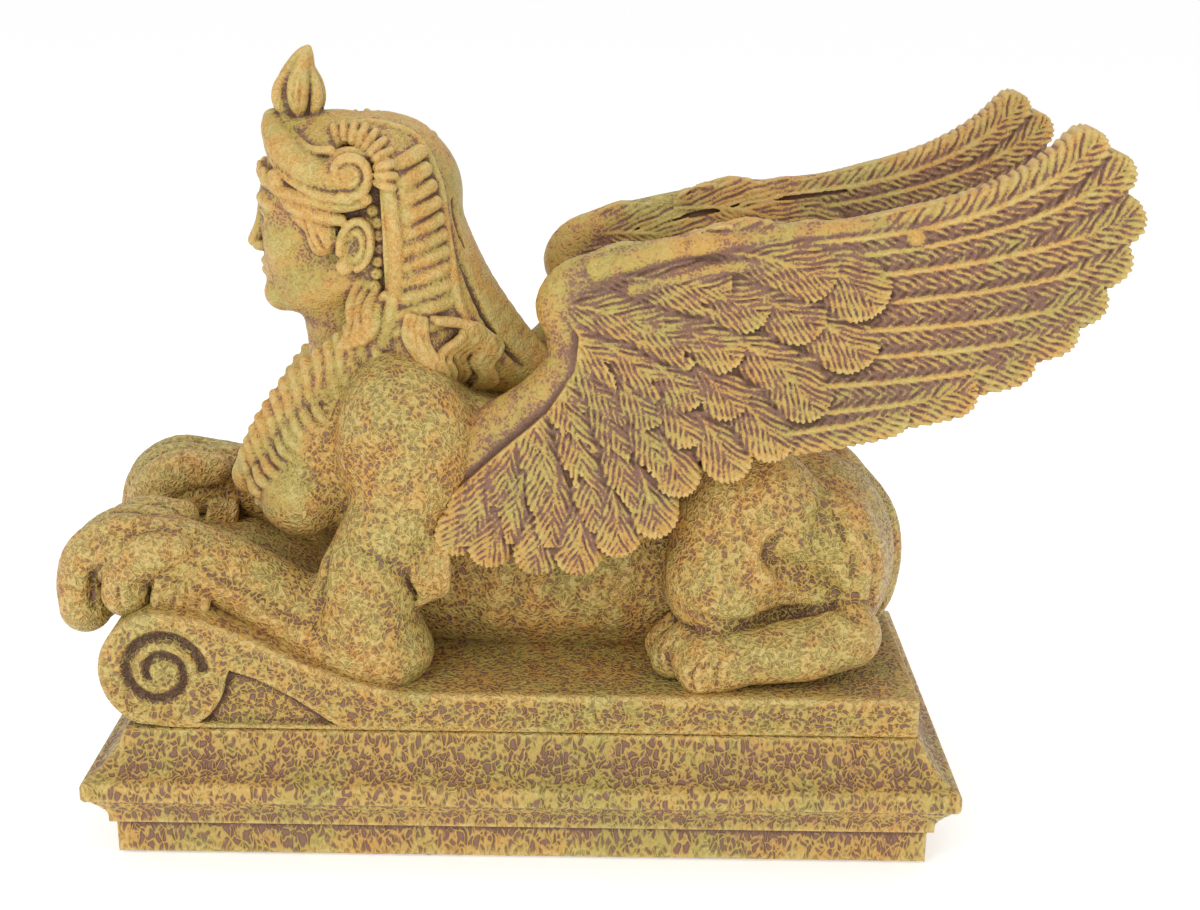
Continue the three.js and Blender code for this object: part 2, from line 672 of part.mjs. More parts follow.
// Tufts of fur behind the arm and on both sides of the wrist.
function modelTufts(clay) {
  const behindArm = [[-36, 44, 98, 3.4], [-30, 45, 90, 4.4], [-28.5, 44, 82, 4.2]];
  clay.add(limb(curved([...behindArm, [-28.5, 43, 76, 3.2], [-32, 42, 71.5, 1.5]])), 1);
  for (let n = 0; n < 5; n++) {
    const x = -107 + 3.2 * n;
    const strand = [[x, 45 + 0.5 * n, 85.5 - 1.6 * n, 1.5], [x + 1.4, 48.6, 80 - 1.2 * n, 1.9]];
    strand.push([x + 0.6, 50, 74.6 - n, 1.7], [x + 2.4, 51, 70.4 - 1.4 * n, 1.1]);
    clay.add(limb(curved(strand)), 0.4);
  }
  clay.add(limb([[-102, 28, 84, 4.5], [-101, 24.4, 79, 4], [-101, 23.6, 74, 2.6]]), 1);
}

function modelBust(clay) {
  clay.add(egg([-60, 12, 112], [19, 20, 21]), 6);
  clay.add(egg([-67, 20, 99], [14, 14.5, 13]), 3);
  clay.add(limb([[-50, 0, 130, 17], [-55, 0, 148, 13.5], [-57, 0, 168, 14]]), 6);
  clay.add(limb([[-52, 4, 136, 5], [-40, 26, 137, 6]]), 5);
}

function modelFace(clay) {
  clay.add(egg([-57, 0, 187], [23, 19.5, 24]), 4);
  clay.add(egg([-65, 0, 177], [15.2, 15.2, 20]), 5);
  clay.add(egg([-70, 8, 171.5], [8, 7, 8]), 4); // cheek
  clay.add(egg([-64, 0, 164.5], [14, 13, 9.5]), 5);
  clay.add(limb([[-52, 13, 164, 5], [-64, 9.5, 158, 5], [-74, 2.5, 156, 4.6]]), 5); // jaw
  clay.add(egg([-75.8, 0, 156.4], [4.6, 5.4, 4.4]), 3); // chin
  clay.add(egg([-76.4, 0, 165], [3.6, 6.4, 5]), 3);
  clay.carve(egg([-83, 6.9, 180.4], [4.2, 5.2, 3]), 2.5); // eye socket
  clay.add(limb(curved([[-79.2, 2.6, 184.6, 1.3], [-79, 7.5, 186, 1.3], [-75.2, 12.6, 184, 1.1]])), 2);
  clay.add(egg([-75.2, 6.8, 180], [3.9, 4.4, 3.1]), 0.3);
  clay.add(limb(curved([[-78.6, 0, 186, 1.7], [-80.8, 0, 178, 1.6], [-83, 0, 172, 2]])), 2); // nose
  clay.add(egg([-80.8, 2.4, 170.8], [2.4, 1.6, 1.6]), 0.8);
  clay.add(limb([[-80.2, 0, 166, 1.2], [-78, 4.6, 165.1, 0.7]]), 0.7); // lips
  clay.add(limb([[-79.9, 0, 163.2, 1.4], [-77.8, 4.2, 164, 0.7]]), 0.7);
}

function modelEar(clay) {
  clay.add(egg([-49.8, 18.2, 174.2], [5.2, 4, 7.6], [0, 12, 0]), 1);
  clay.add(egg([-50, 20, 174.4], [5.6, 2.8, 7.8], [0, 12, 0]), 0.8);
  clay.carve(egg([-50.6, 23.4, 174.6], [3.2, 3, 5], [0, 12, 0]), 0.8);
}

const BAND = { top: 198.5, pitch: 4.75, bars: 11, lean: 3.4 };
const BAND_LEFT = [[150, -37.5], [163, -36], [175, -35.4], [186, -36], [199, -38]]; // [z, x]
const BAND_RIGHT = [[150, -22.8], [163, -24.6], [175, -25.6], [186, -27.6], [199, -31.5]];

// The cloth is a shell behind the band and above the diadem, and falls between the shoulders.
function modelCloth(clay) {
  const covered = (x, y, z) => Math.min(-41.5 - x, 199 - 0.5 * (x + 41.5) - z);
  clay.add(trimmed(egg([-47, 0, 187], [26.5, 24.5, 23.6]), covered), 0.8);
  const fall = [[-45, 0, 187, 22.5], [-38, 0, 172, 19.6], [-28, 0, 155, 17.6], [-14, 0, 141, 13.6]];
  clay.add(trimmed(limb(curved([...fall, [0, 0, 133, 7.6]]), 1.25), covered), 1.5);
  clay.add(limb([[-34, 19, 152, 8.5], [-31, 22, 141, 8.5]]), 5);
  const rim = [[-54.9, 207.6, 0.9], [-41, 208, 1.1], [-32.6, 204.4, 1.2], [-27, 195, 1.2]];
  rim.push([-24.6, 184, 1.3], [-22.6, 170, 1.3], [-20.5, 158, 1.3], [-17, 150, 1.1]);
  clay.add(limb(clay.lay(rim, -0.1)), 1);
}

// The band's inner strip, then the bars across it, which lean up toward the back.
function modelRibs(clay) {
  const strip = [[-40.5, 198, 2.4], [-38.8, 186, 2.6], [-37.8, 174, 2.7], [-38.2, 162, 2.8]];
  clay.add(limb(clay.lay([...strip, [-40, 151, 2.8]], -0.9)), 0.8);
  for (let n = 0; n < BAND.bars; n++) {
    const z = BAND.top - BAND.pitch * n;
    const [left, right] = [along(BAND_LEFT, z), along(BAND_RIGHT, z)];
    const middle = (left + right) / 2;
    const bar = [[left, z - 0.8, 2.1], [middle, z + 0.6, 2.5], [right, z - 0.8 + BAND.lean, 2.3]];
    clay.add(limb(clay.lay(bar, -1.5)), 0.3);
  }
}

// The lappet, and ribs that slope away from its middle line.
const LAPPET = { pitch: 4.1, margin: 0.6 };
const LAPPET_PATH = [
  [-43, 21, 147, 9.5],
  [-53, 20.5, 138.5, 9.4],
  [-65.5, 20, 128.5, 9],
  [-75, 19.5, 117, 8],
  [-83.5, 18, 104, 6],
];

function modelLappet(clay) {
  clay.add(limb(curved(LAPPET_PATH), 0.62), 1);
  const run = curved(LAPPET_PATH, 8);
  let since = LAPPET.pitch / 2;
  for (let i = 1; i < run.length; i++) {
    const [x, , z, radius] = run[i];
    const dx = x - run[i - 1][0];
    const dz = z - run[i - 1][2];
    const step = Math.hypot(dx, dz);
    since += step;
    if (since < LAPPET.pitch) continue;
    since -= LAPPET.pitch;
    const [ux, uz] = [dx / step, dz / step];
    for (const [way, slope] of [[-1, 5], [1, 1]]) {
      const at = (across, ahead, thick) => [
        x - way * uz * across + way * ux * ahead,
        z + way * ux * across + way * uz * ahead,
        thick,
      ];
      const width = radius - LAPPET.margin;
      const rib = [at(0.8, 0, 1.8), at(width / 2, 0.8 + slope / 2, 2), at(width, slope, 1.7)];
      clay.add(limb(clay.lay(rib, -0.9)), 0.25);
    }
  }
}

const VOLUTE = { x: -50.8, y: 24, z: 195.6, pleats: 10 };

function modelDiadem(clay) {
  const plate = [[-76, 0, 208, 3], [-74.4, 5, 205, 4.2], [-70.4, 11, 200.4, 5], [-64.4, 16, 196.4, 5.2]];
  clay.add(limb(curved([...plate, [-57, 18.6, 194.4, 5.6], [-51.5, 19.6, 194.6, 6]])), 1.2);
  const lower = [[-77.6, 0, 205, 1.3], [-76.9, 5, 202, 1.3], [-74.2, 11, 197.6, 1.4]];
  lower.push([-69.6, 16.2, 193.6, 1.4], [-64, 20, 190.8, 1.4], [-58, 22.6, 189, 1.5]);
  clay.add(limb(curved([...lower, [VOLUTE.x, VOLUTE.y, VOLUTE.z - 7, 1.6]])), 0.6);
  const upper = [[-73, 0, 212, 1.2], [-71.8, 5, 208.4, 1.2], [-67.6, 10.6, 204, 1.2]];
  clay.add(limb(curved([...upper, [-62.6, 16.6, 201.6, 1.2], [-56, 21.4, 202, 1.3]])), 0.6);
  // The volute is a boss with a horn wound on it, and pleats fan out above and behind it.
  clay.add(egg([VOLUTE.x, VOLUTE.y - 3.4, VOLUTE.z], [7.4, 4.4, 7.4]), 0.8);
  for (let n = 0; n < VOLUTE.pleats; n++) {
    const pleat = [[8.4, 1.4], [10.8, 1.6], [13.2, 1.2]].map(([radius, thick]) => {
      const [x, z] = polar(radius, 116 - 14.5 * n);
      return [VOLUTE.x + x, VOLUTE.z + z, thick];
    });
    clay.add(limb(clay.lay(pleat, 0.3)), 0.4);
  }
  clay.add(limb(spiral([VOLUTE.x, VOLUTE.y, VOLUTE.z], [6.6, 1.2], [0.7, 2.3], [1.6, 1.3])), 0.2);
}

function modelHair(clay) {
  const upper = [[-75.6, 10.5, 191, 2], [-71, 14.5, 189, 2.4], [-65, 18, 187.8, 2.5]];
  clay.add(limb(curved([...upper, [-56, 20.6, 186.6, 2.6], [-47.5, 21.6, 187.6, 2]])), 0.6);
  const lower = [[-72.6, 12.6, 188, 1.4], [-69, 15.6, 185.6, 2.3], [-64, 18.4, 183.8, 2.6]];
  clay.add(limb(curved([...lower, [-54, 20.6, 182, 1.8]])), 0.6);
  clay.add(egg([-60, 17.8, 177.4], [5.4, 4.2, 6.2]), 1);
  for (const [x, y, z] of [[-79.6, 3.4, 193.2], [-77.6, 9.2, 192], [-74, 13.8, 192]])
    clay.add(egg([x + 0.8, y - 0.3, z], [3.1, 3.3, 3.1]), 0.8);
}

function modelLocks(clay) {
  const middle = [[-25, 153.4, 2.6], [-18, 151.6, 3], [-16.4, 147.4, 3], [-22.4, 143.2, 3]];
  const locks = [
    [[-32, 155, 2.4], [-32, 148.5, 3], [-28.4, 142.4, 2.8], [-29, 135.6, 1.6]],
    [...middle, [-21, 137.4, 2.9], [-28, 132, 1.4]],
    [[-15.6, 150, 2.4], [-11, 144.6, 2.7], [-14, 139.4, 2.6], [-12, 133.8, 2.2], [-16, 129.4, 1.3]],
    [[-47, 162, 2], [-49.4, 156, 2.4], [-48, 150, 2], [-51, 145.6, 1.6]],
  ];
  for (const lock of locks) clay.add(limb(clay.lay(lock, 0.5)), 0.6);
}

function modelCrest(clay) {
  clay.add(egg([-67, 0, 206.5], [9, 8, 4]), 2);
  const bud = [[-68.2, 0, 208, 6.2], [-68.8, 0, 213, 6.5], [-68.6, 0, 217.5, 6], [-67.6, 0, 221.8, 4.6]];
  clay.add(limb(curved([...bud, [-66.2, 0, 225.8, 2.9], [-65, 0, 229, 1.2]]), 0.72), 1);
  const lobe = [[-67.4, 4.2, 209.5, 1.4], [-67.6, 4.6, 214, 3], [-67.4, 4, 218.5, 3.2]];
  clay.add(limb(curved([...lobe, [-66.4, 2.4, 223.4, 2.2], [-65.4, 0.8, 227, 1.2]])), 0.3);
}

function modelWing(clay) {
  clay.add(wing(), 1);
  // The arm of the wing: an S from the shoulder to behind the headdress, then the top edge.
  const arm = [[-20, 30, 106, 12], [-10, 31, 119, 10.5], [4, 32, 131, 8.6], [12, 33, 143, 7]];
  arm.push([12, 33, 153, 6.6], [9.5, 33.5, 161, 7], [14, 34, 168, 6.4], [26, 35.5, 173, 5.2]);
  clay.add(limb(curved(arm), 0.9), 1.5);
  const top = [[20, 35.5, 172, 4.6], [46, 38, 179, 3.6], [75, 40, 183.4, 3], [104, 42.6, 186.6, 2.8]];
  clay.add(limb(curved(top), 1.25), 0.8);
  const under = [[30, 36.5, 167, 3.4], [50, 38.5, 172.6, 3], [75, 40.4, 177, 2.6], [103, 42.6, 180.6, 2.6]];
  clay.add(limb(curved(under), 1.5), 0.8);
}

// What a lost triangle costs: the head and the paws are worth the most, then the feathers.
function care(x, y, z) {
  if (x < -20 && z > 138) return 7;
  if (x < -95) return 2.5;
  return x > -25 && z > 100 ? 2.5 : 1;
}

function figure() {
  const grid = [[-146, 40], [180, 64, 236], CLAY_CELL];
  const clay = new Clay(...grid);
  modelBody(clay);
  modelHindPaw(clay);
  modelForelegs(clay);
  modelFrontPaw(clay);
  modelTufts(clay);
  modelBust(clay);
  modelWing(clay);
  // The head is modelled apart, so that hair is laid on it and not on the wings.
  const head = new Clay(...grid);
  modelBust(head);
  modelFace(head);
  modelEar(head);
  modelCloth(head);
  modelRibs(head);
  modelLappet(head);
  modelDiadem(head);
  modelHair(head);
  modelLocks(head);
  modelCrest(head);
  clay.join(head);
  clay.carve(behind([0, 0, SLAB.top - SUNK], [0, 0, 1]), 0.5);
  clay.settle();
  return solid(thinOut(clay.skin(), FIGURE_TRIANGLES, care));
}

// ---------------------------------------------------------------- slab, plinth and pad

function solid({ positions, triangles }) {
  return new wasm.Manifold(
    new wasm.Mesh({
      numProp: 3,
      vertProperties: Float32Array.from(positions),
      triVerts: Uint32Array.from(triangles),
    }),
  );
}

function geometryOf(manifold) {
  const { vertProperties, triVerts } = manifold.getMesh();
  return new THREE.BufferGeometry()
    .setAttribute("position", new THREE.BufferAttribute(vertProperties, 3))
    .setIndex(new THREE.BufferAttribute(triVerts, 1));
}

// Where two solids are joined, their crossing leaves edges too short to keep.
const SHORT = 0.08;
function withoutShortEdges(manifold) {
  const { vertProperties, triVerts } = manifold.getMesh();
  return solid(thinOut({ positions: vertProperties, triangles: triVerts }, 0, () => 1, SHORT));
}

// A closed outline in (x, z), given depth from y0 to y1.
function slice(outline, y0, y1) {
  const shape = new THREE.Shape(outline.map(([x, z]) => new THREE.Vector2(x, z)));
  const extruded = new THREE.ExtrudeGeometry(shape, { depth: y1 - y0, bevelEnabled: false });
  extruded.deleteAttribute("uv");
  extruded.deleteAttribute("normal");
  const merged = mergeVertices(extruded, 1e-3);
  const flat = merged.attributes.position;
  const positions = [];
  for (let i = 0; i < flat.count; i++)
    positions.push(flat.getX(i), y1 - flat.getZ(i), flat.getY(i));
  return solid({ positions, triangles: merged.index.array });
}

const onRoll = (radius, degrees) => {
  const [x, z] = polar(radius, degrees);
  return [ROLL.x + x, ROLL.z + z];
};

function couch() {
  // Along the top of the slab, up the sweep, over the roll and back along the bottom.
  const sweep = [[-35, SLAB.top], [-50, 54.5], [-65, 60.5], [-80, 67.8], [-92, 72.8]];
  const roll = [];
  for (let degrees = 90; degrees <= 250; degrees += 8) roll.push(onRoll(ROLL.radius, degrees));
  const outline = [
    [SLAB.halfLength, PLINTH.height],
    [SLAB.halfLength, SLAB.top],
    ...sweep,
    ...roll,
    [-101, PLINTH.height],
  ];
  let body = slice(outline, -SLAB.halfDepth, SLAB.halfDepth);
  // The sunk panel between the roll, the sweep and the plinth, and the spiral on the roll.
  const panel = [[-54, 40.5], [-66, 49], [-77, 55], [-84.5, 57.5]];
  for (let degrees = -6; degrees >= -56; degrees -= 10) panel.push(onRoll(ROLL.radius + 1, degrees));
  const winding = [];
  for (let s = 0; s <= GROOVE.steps; s++) {
    const run = s / GROOVE.steps;
    winding.push([mix(GROOVE.outer, GROOVE.inner, run), GROOVE.start + 360 * GROOVE.turns * run]);
  }
  const groove = [
    ...winding.map(([radius, degrees]) => onRoll(radius + GROOVE.width / 2, degrees)),
    ...winding.reverse().map(([radius, degrees]) => onRoll(radius - GROOVE.width / 2, degrees)),
  ];
  for (const [cut, depth] of [[[...panel, [-88, 40.5]], SLAB.panel], [groove, GROOVE.depth]]) {
    body = body.subtract(slice(cut, SLAB.halfDepth - depth, SLAB.halfDepth + 1));
    body = body.subtract(slice(cut, -SLAB.halfDepth - 1, depth - SLAB.halfDepth));
  }
  return body;
}

// A stack of rectangles, each [inset, z] from the widest, joined side to side.
function moulding(halfLength, halfDepth, sections) {
  const positions = [];
  const triangles = [];
  for (const [inset, z] of sections)
    for (const [sx, sy] of [[-1, -1], [1, -1], [1, 1], [-1, 1]])
      positions.push(sx * (halfLength - inset), sy * (halfDepth - inset), z);
  for (let level = 1; level < sections.length; level++)
    for (let corner = 0; corner < 4; corner++) {
      const a = 4 * (level - 1) + corner;
      const b = 4 * (level - 1) + ((corner + 1) % 4);
      triangles.push(a, b, b + 4, a, b + 4, a + 4);
    }
  const top = 4 * (sections.length - 1);
  triangles.push(0, 2, 1, 0, 3, 2, top, top + 1, top + 2, top, top + 2, top + 3);
  return solid({ positions, triangles });
}

function plinth() {
  const sections = [
    [PLINTH.foot, PAD.thickness],
    [PLINTH.foot, 11],
    [6.2, 11.4],
    [6.2, 13.4],
    [5.6, 15.4],
    [4.2, 17.4],
    [2.8, 19],
    [2.2, 20.2],
    [0.8, 20.6],
    [0, 21.6],
    [0, 25.6],
    [1, 26.8],
    [3.2, 27.8],
    [5.6, 29.8],
    [7.8, 32.4],
    [9.6, 35.4],
    [10.8, 37.6],
    [11.2, PLINTH.height],
  ];
  return moulding(PLINTH.halfLength, PLINTH.halfDepth, sections);
}

function pad() {
  const inset = PLINTH.foot + PAD.inset;
  return moulding(PLINTH.halfLength, PLINTH.halfDepth, [[inset, 0], [inset, PAD.thickness]]);
}

// ---------------------------------------------------------------- the object

function part(name, manifold, look) {
  const mesh = new THREE.Mesh(geometryOf(manifold), new THREE.MeshStandardMaterial(look));
  mesh.name = name;
  return mesh;
}

const statue = new THREE.Group();
statue.name = "sphinx_statue";
statue.add(part("sphinx", withoutShortEdges(figure().add(couch())), STONE));
statue.add(part("plinth", plinth(), STONE));
statue.add(part("felt_pad", pad(), FELT));

export default statue;
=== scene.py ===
# %% [markdown]
# # A winged sphinx in painted resin
# The statue is a crouching lion with a woman's head and raised wings, on a slab that ends in a
# scroll, on a moulded plinth. The CAD solids give the forms. Here each one is modelled again
# with its fine carving, in the same frame and to the same size, and painted.

import math
import time

import bpy
import numpy as np
import openvdb
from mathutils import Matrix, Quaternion, Vector


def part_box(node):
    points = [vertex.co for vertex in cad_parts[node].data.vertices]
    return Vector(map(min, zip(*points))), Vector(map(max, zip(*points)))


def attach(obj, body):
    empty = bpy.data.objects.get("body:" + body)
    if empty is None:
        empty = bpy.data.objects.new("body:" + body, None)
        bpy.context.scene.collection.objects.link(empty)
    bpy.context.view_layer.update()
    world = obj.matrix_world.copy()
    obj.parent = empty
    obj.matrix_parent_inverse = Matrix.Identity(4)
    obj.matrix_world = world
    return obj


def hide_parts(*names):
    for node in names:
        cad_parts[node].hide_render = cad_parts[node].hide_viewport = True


started = time.time()
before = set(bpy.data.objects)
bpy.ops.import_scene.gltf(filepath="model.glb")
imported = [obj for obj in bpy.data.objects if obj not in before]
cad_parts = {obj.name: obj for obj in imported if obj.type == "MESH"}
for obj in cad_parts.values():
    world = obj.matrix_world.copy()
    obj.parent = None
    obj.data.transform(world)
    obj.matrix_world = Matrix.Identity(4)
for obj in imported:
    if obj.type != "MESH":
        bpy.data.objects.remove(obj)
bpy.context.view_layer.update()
MM = 0.001

# %% [markdown]
# ## Camera and light
# The camera looks along +Y and a little down, from about half a metre, with a normal lens. The
# light is that of a small studio: a big soft lamp above and to the left, weaker ones round it,
# and a pale surrounding that fills the shadows.

# %% Camera
TARGET = Vector((0.0214, 0.0, 0.1059))
DISTANCE, HEIGHT_ANGLE, ROLL_ANGLE = 0.552, math.radians(17.5), math.radians(0.8)
camera_data = bpy.data.cameras.new("camera")
camera_data.lens, camera_data.sensor_width = 53.28, 36
camera = bpy.data.objects.new("camera", camera_data)
away = Vector((0, -math.cos(HEIGHT_ANGLE), math.sin(HEIGHT_ANGLE)))
camera.location = TARGET + DISTANCE * away
camera.rotation_mode = "QUATERNION"
camera.rotation_quaternion = (-away).to_track_quat("-Z", "Y") @ Quaternion((0, 0, 1), ROLL_ANGLE)
bpy.context.collection.objects.link(camera)
bpy.context.scene.camera = camera

# %% [markdown]
# ## Lamps
# A glossy painted casting shows its carving by the soft lights that slide over it. Real lamps of a
# small studio are panels of cloth, so area lamps are used: their size sets how soft a shadow is.
# Spot lamps would give hard shadows between the feathers. The low lamp in front lights the
# belly under the wings.

# %% Lamps and surroundings
def soft_lamp(name, place, size, power):
    data = bpy.data.lights.new(name, "AREA")
    data.size, data.energy = size, power
    lamp = bpy.data.objects.new(name, data)
    lamp.location = place
    lamp.rotation_mode = "QUATERNION"
    lamp.rotation_quaternion = (TARGET - Vector(place)).to_track_quat("-Z", "Y")
    bpy.context.collection.objects.link(lamp)


SKY = 0.62  # how strongly the pale surrounding shines
soft_lamp("key", (-0.55, -0.75, 0.85), 0.5, 3.8)
soft_lamp("fill", (0.9, -0.6, 0.45), 0.7, 1.2)
soft_lamp("front", (0.05, -0.95, 0.14), 0.5, 0.9)
soft_lamp("top", (0.1, 0.35, 1.0), 0.6, 2.0)
surroundings = bpy.data.worlds.new("studio")
surroundings.use_nodes = True
background = surroundings.node_tree.nodes["Background"]
background.inputs["Color"].default_value = (1, 1, 1, 1)
background.inputs["Strength"].default_value = SKY
bpy.context.scene.world = surroundings
bpy.context.scene.view_settings.view_transform = "Standard"

# %% [markdown]
# ## Digital clay
# A statue like this is made by pressing lumps of clay together, and code can do the same. A grid
# holds, for each point of space, the distance to the surface: negative inside the clay. The
# union of two shapes is then the smaller of two numbers, and a little arithmetic where the two
# are close gives a fillet. Subdivision modelling would need every crease laid out by hand, and
# metaballs can't carve, so a grid suits a body with a hundred soft parts. The statue is the same
# on both sides, so only the half with y above 0 is stored.

# %% Lumps: each one has a box that holds it, and a distance
def egg(centre, radii, turn=(0, 0, 0)):
    """An egg with three radii, turned by degrees about X, then Y, then Z."""
    a, b, c = (math.radians(v) for v in turn)
    about_x = np.array([[1, 0, 0], [0, math.cos(a), -math.sin(a)], [0, math.sin(a), math.cos(a)]])
    about_y = np.array([[math.cos(b), 0, math.sin(b)], [0, 1, 0], [-math.sin(b), 0, math.cos(b)]])
    about_z = np.array([[math.cos(c), -math.sin(c), 0], [math.sin(c), math.cos(c), 0], [0, 0, 1]])
    m = (about_x @ about_y @ about_z).T.astype(np.float32)
    reach = max(radii)

    def distance(x, y, z):
        dx, dy, dz = x - centre[0], y - centre[1], z - centre[2]
        u, v, w = (
            (m[i, 0] * dx + m[i, 1] * dy + m[i, 2] * dz) / np.float32(radii[i]) for i in range(3)
        )
        k0 = np.sqrt(u * u + v * v + w * w)
        k1 = np.sqrt((u / radii[0]) ** 2 + (v / radii[1]) ** 2 + (w / radii[2]) ** 2)
        return k0 * (k0 - 1) / np.maximum(k1, 1e-6)

    return [c - reach for c in centre], [c + reach for c in centre], distance


def limb(stations, flat=1.0):
    """A limb through stations [x, y, z, radius]. flat squeezes it along Y."""
    s = np.array(stations, dtype=np.float32)
    low = (s[:, :3] - s[:, 3:]).min(0)
    high = (s[:, :3] + s[:, 3:]).max(0)

    def distance(x, y, z):
        best = None
        for a, b in zip(s[:-1], s[1:]):
            vx, vy, vz = b[0] - a[0], (b[1] - a[1]) / flat, b[2] - a[2]
            px, py, pz = x - a[0], (y - a[1]) / flat, z - a[2]
            t = np.clip((px * vx + py * vy + pz * vz) / (vx * vx + vy * vy + vz * vz), 0, 1)
            off = np.sqrt((px - vx * t) ** 2 + (py - vy * t) ** 2 + (pz - vz * t) ** 2)
            off -= a[3] + (b[3] - a[3]) * t
            best = off if best is None else np.minimum(best, off)
        return best * min(1.0, flat)

    return low, high, distance


def trimmed(lump, keep):
    """The part of a lump where keep(x, y, z) is negative."""
    low, high, distance = lump
    return low, high, lambda x, y, z: np.maximum(distance(x, y, z), keep(x, y, z))


def curved(points, steps=4):
    """The same run of stations, rounded into a smooth curve that passes through all of them."""
    p = np.array(points, float)
    p = np.vstack([2 * p[0] - p[1], p, 2 * p[-1] - p[-2]])
    made = []
    for a, b, c, d in zip(p[:-3], p[1:-2], p[2:-1], p[3:]):
        for t in np.arange(steps) / steps:
            made.append(
                0.5 * (2 * b + (c - a) * t + (2 * a - 5 * b + 4 * c - d) * t**2
                       + (3 * b - a - 3 * c + d) * t**3)
            )
    return [*made, p[-2]]


# %% [markdown]
# ## The clay
# Pressing a lump on and cutting one away are the two moves of a modeller. Each works only on the
# slices of the grid that the lump can reach, which keeps hundreds of moves quick. A third move lays
# a cord on the surface, which is how hair, bands and grooves follow the form below.

# %% The clay itself
class Clay:
    FAR = 6.0  # distances are kept only near the surface
    STEEPEST = 0.8  # how fast a cord may drop, along Y for 1 mm seen from the side

    def __init__(self, low, high, cell):
        self.cell = cell
        self.low = np.array([low[0], 0.0, low[1]], dtype=np.float32)
        span = np.array([high[0] - low[0], high[1], high[2] - low[1]])
        self.d = np.full(np.ceil(span / cell).astype(int) + 1, self.FAR, dtype=np.float32)

    def near(self, low, high, reach):
        """The slices of the grid about a box, and the coordinates there."""
        lo = np.clip(np.floor((np.array(low) - reach - self.low) / self.cell), 0, None).astype(int)
        hi = np.ceil((np.array(high) + reach - self.low) / self.cell).astype(int) + 1
        hi = np.minimum(hi, self.d.shape)
        if (hi <= lo).any():
            return None, None
        where = tuple(slice(a, b) for a, b in zip(lo, hi))
        axes = [
            (self.low[i] + self.cell * np.arange(lo[i], hi[i])).astype(np.float32)
            for i in range(3)
        ]
        return where, np.ix_(*axes)

    def add(self, lump, blend=3.0):
        """Press a lump on, with a fillet about as wide as blend."""
        low, high, distance = lump
        where, at = self.near(low, high, blend + 2 * self.cell)
        if where is None:
            return
        old, new = self.d[where], distance(*at)
        h = np.maximum(blend - np.abs(old - new), 0)
        self.d[where] = np.minimum(old, new) - h * h / (4 * blend)

    def carve(self, lump, blend=0.6):
        """Take a lump away."""
        low, high, distance = lump
        where, at = self.near(low, high, blend + 2 * self.cell)
        if where is None:
            return
        old, new = self.d[where], -distance(*at)
        h = np.maximum(blend - np.abs(old - new), 0)
        self.d[where] = np.maximum(old, new) + h * h / (4 * blend)

    def side(self, x, z):
        """How far out the surface is at (x, z), seen from the side."""
        i = min(max(round((x - self.low[0]) / self.cell), 0), self.d.shape[0] - 1)
        k = min(max(round((z - self.low[2]) / self.cell), 0), self.d.shape[2] - 1)
        inside = np.flatnonzero(self.d[i, :, k] < 0)
        return float(inside[-1]) * self.cell if len(inside) else 0.0

    def lay(self, points, lift=0.0, steps=3):
        """Stations (x, z, radius) laid on the surface, as a cord is laid on a cushion. Where the
        surface drops away, the cord comes down at a slope."""
        cord = np.array([(x, self.side(x, z), z, max(r, 0.2)) for x, z, r in curved(points, steps)])
        fall = self.STEEPEST * np.hypot(*np.diff(cord[:, [0, 2]], axis=0).T)
        for i in range(len(fall)):
            cord[i + 1, 1] = max(cord[i + 1, 1], cord[i, 1] - fall[i])
        for i in reversed(range(len(fall))):
            cord[i, 1] = max(cord[i, 1], cord[i + 1, 1] - fall[i])
        cord[:, 1] += lift
        return cord.tolist()

    def press(self, stations, blend, flat=1.0):
        """Press on one smooth limb through the stations."""
        self.add(limb(curved(stations), flat), blend)

    def cord(self, points, lift, blend):
        """Press on a cord that is laid on the surface."""
        self.add(limb(self.lay(points, lift)), blend)

    def groove(self, points, lift, blend):
        """Cut a groove that is laid on the surface."""
        self.carve(limb(self.lay(points, lift)), blend)

    def whole(self):
        """Both halves."""
        return np.concatenate([self.d[:, :0:-1], self.d], axis=1)


# %% [markdown]
# ## From clay to a mesh
# The surface is where the distance is zero. OpenVDB finds it and lays quads along it, and Decimate
# then merges faces where the surface is flat, so detail keeps its triangles. Remesh could do the
# same from a rough mesh, but it would not know the distances, and fine grooves would soften.
# How hollow each vertex lies is measured here too, for the paint: a blur of the clay is fuller
# than the clay in a groove and emptier on a ridge.

# %% From clay to a mesh
FINE = 190000  # triangles of a finely carved piece
HOLLOWS = {"pit": 1.3, "hollow": 4.0}  # how wide a neighbourhood each one looks at, in mm
DEEPEST = 4  # mm, the most that a place counts as inside or outside


def blurred(values, radius):
    """The mean over a cube about each point, made one axis at a time by running sums."""
    for axis in range(3):
        n = values.shape[axis]
        total = np.cumsum(values, axis=axis, dtype=np.float32)
        upper = np.take(total, np.minimum(np.arange(n) + radius, n - 1), axis=axis)
        lower = np.take(total, np.maximum(np.arange(n) - radius - 1, 0), axis=axis)
        values = (upper - lower) / (2 * radius + 1)
    return values


def sampled(values, points):
    """Values between grid points, weighed by nearness along each axis."""
    size = np.array(values.shape) - 2
    base = np.clip(np.floor(points).astype(np.int64), 0, size)
    t = np.clip(points - base, 0, 1)
    out = np.zeros(len(points))
    for corner in range(8):
        step = np.array([corner & 1, (corner >> 1) & 1, corner >> 2])
        weight = np.where(step, t, 1 - t).prod(1)
        i, j, k = (base + step).T
        out += weight * values[i, j, k]
    return out


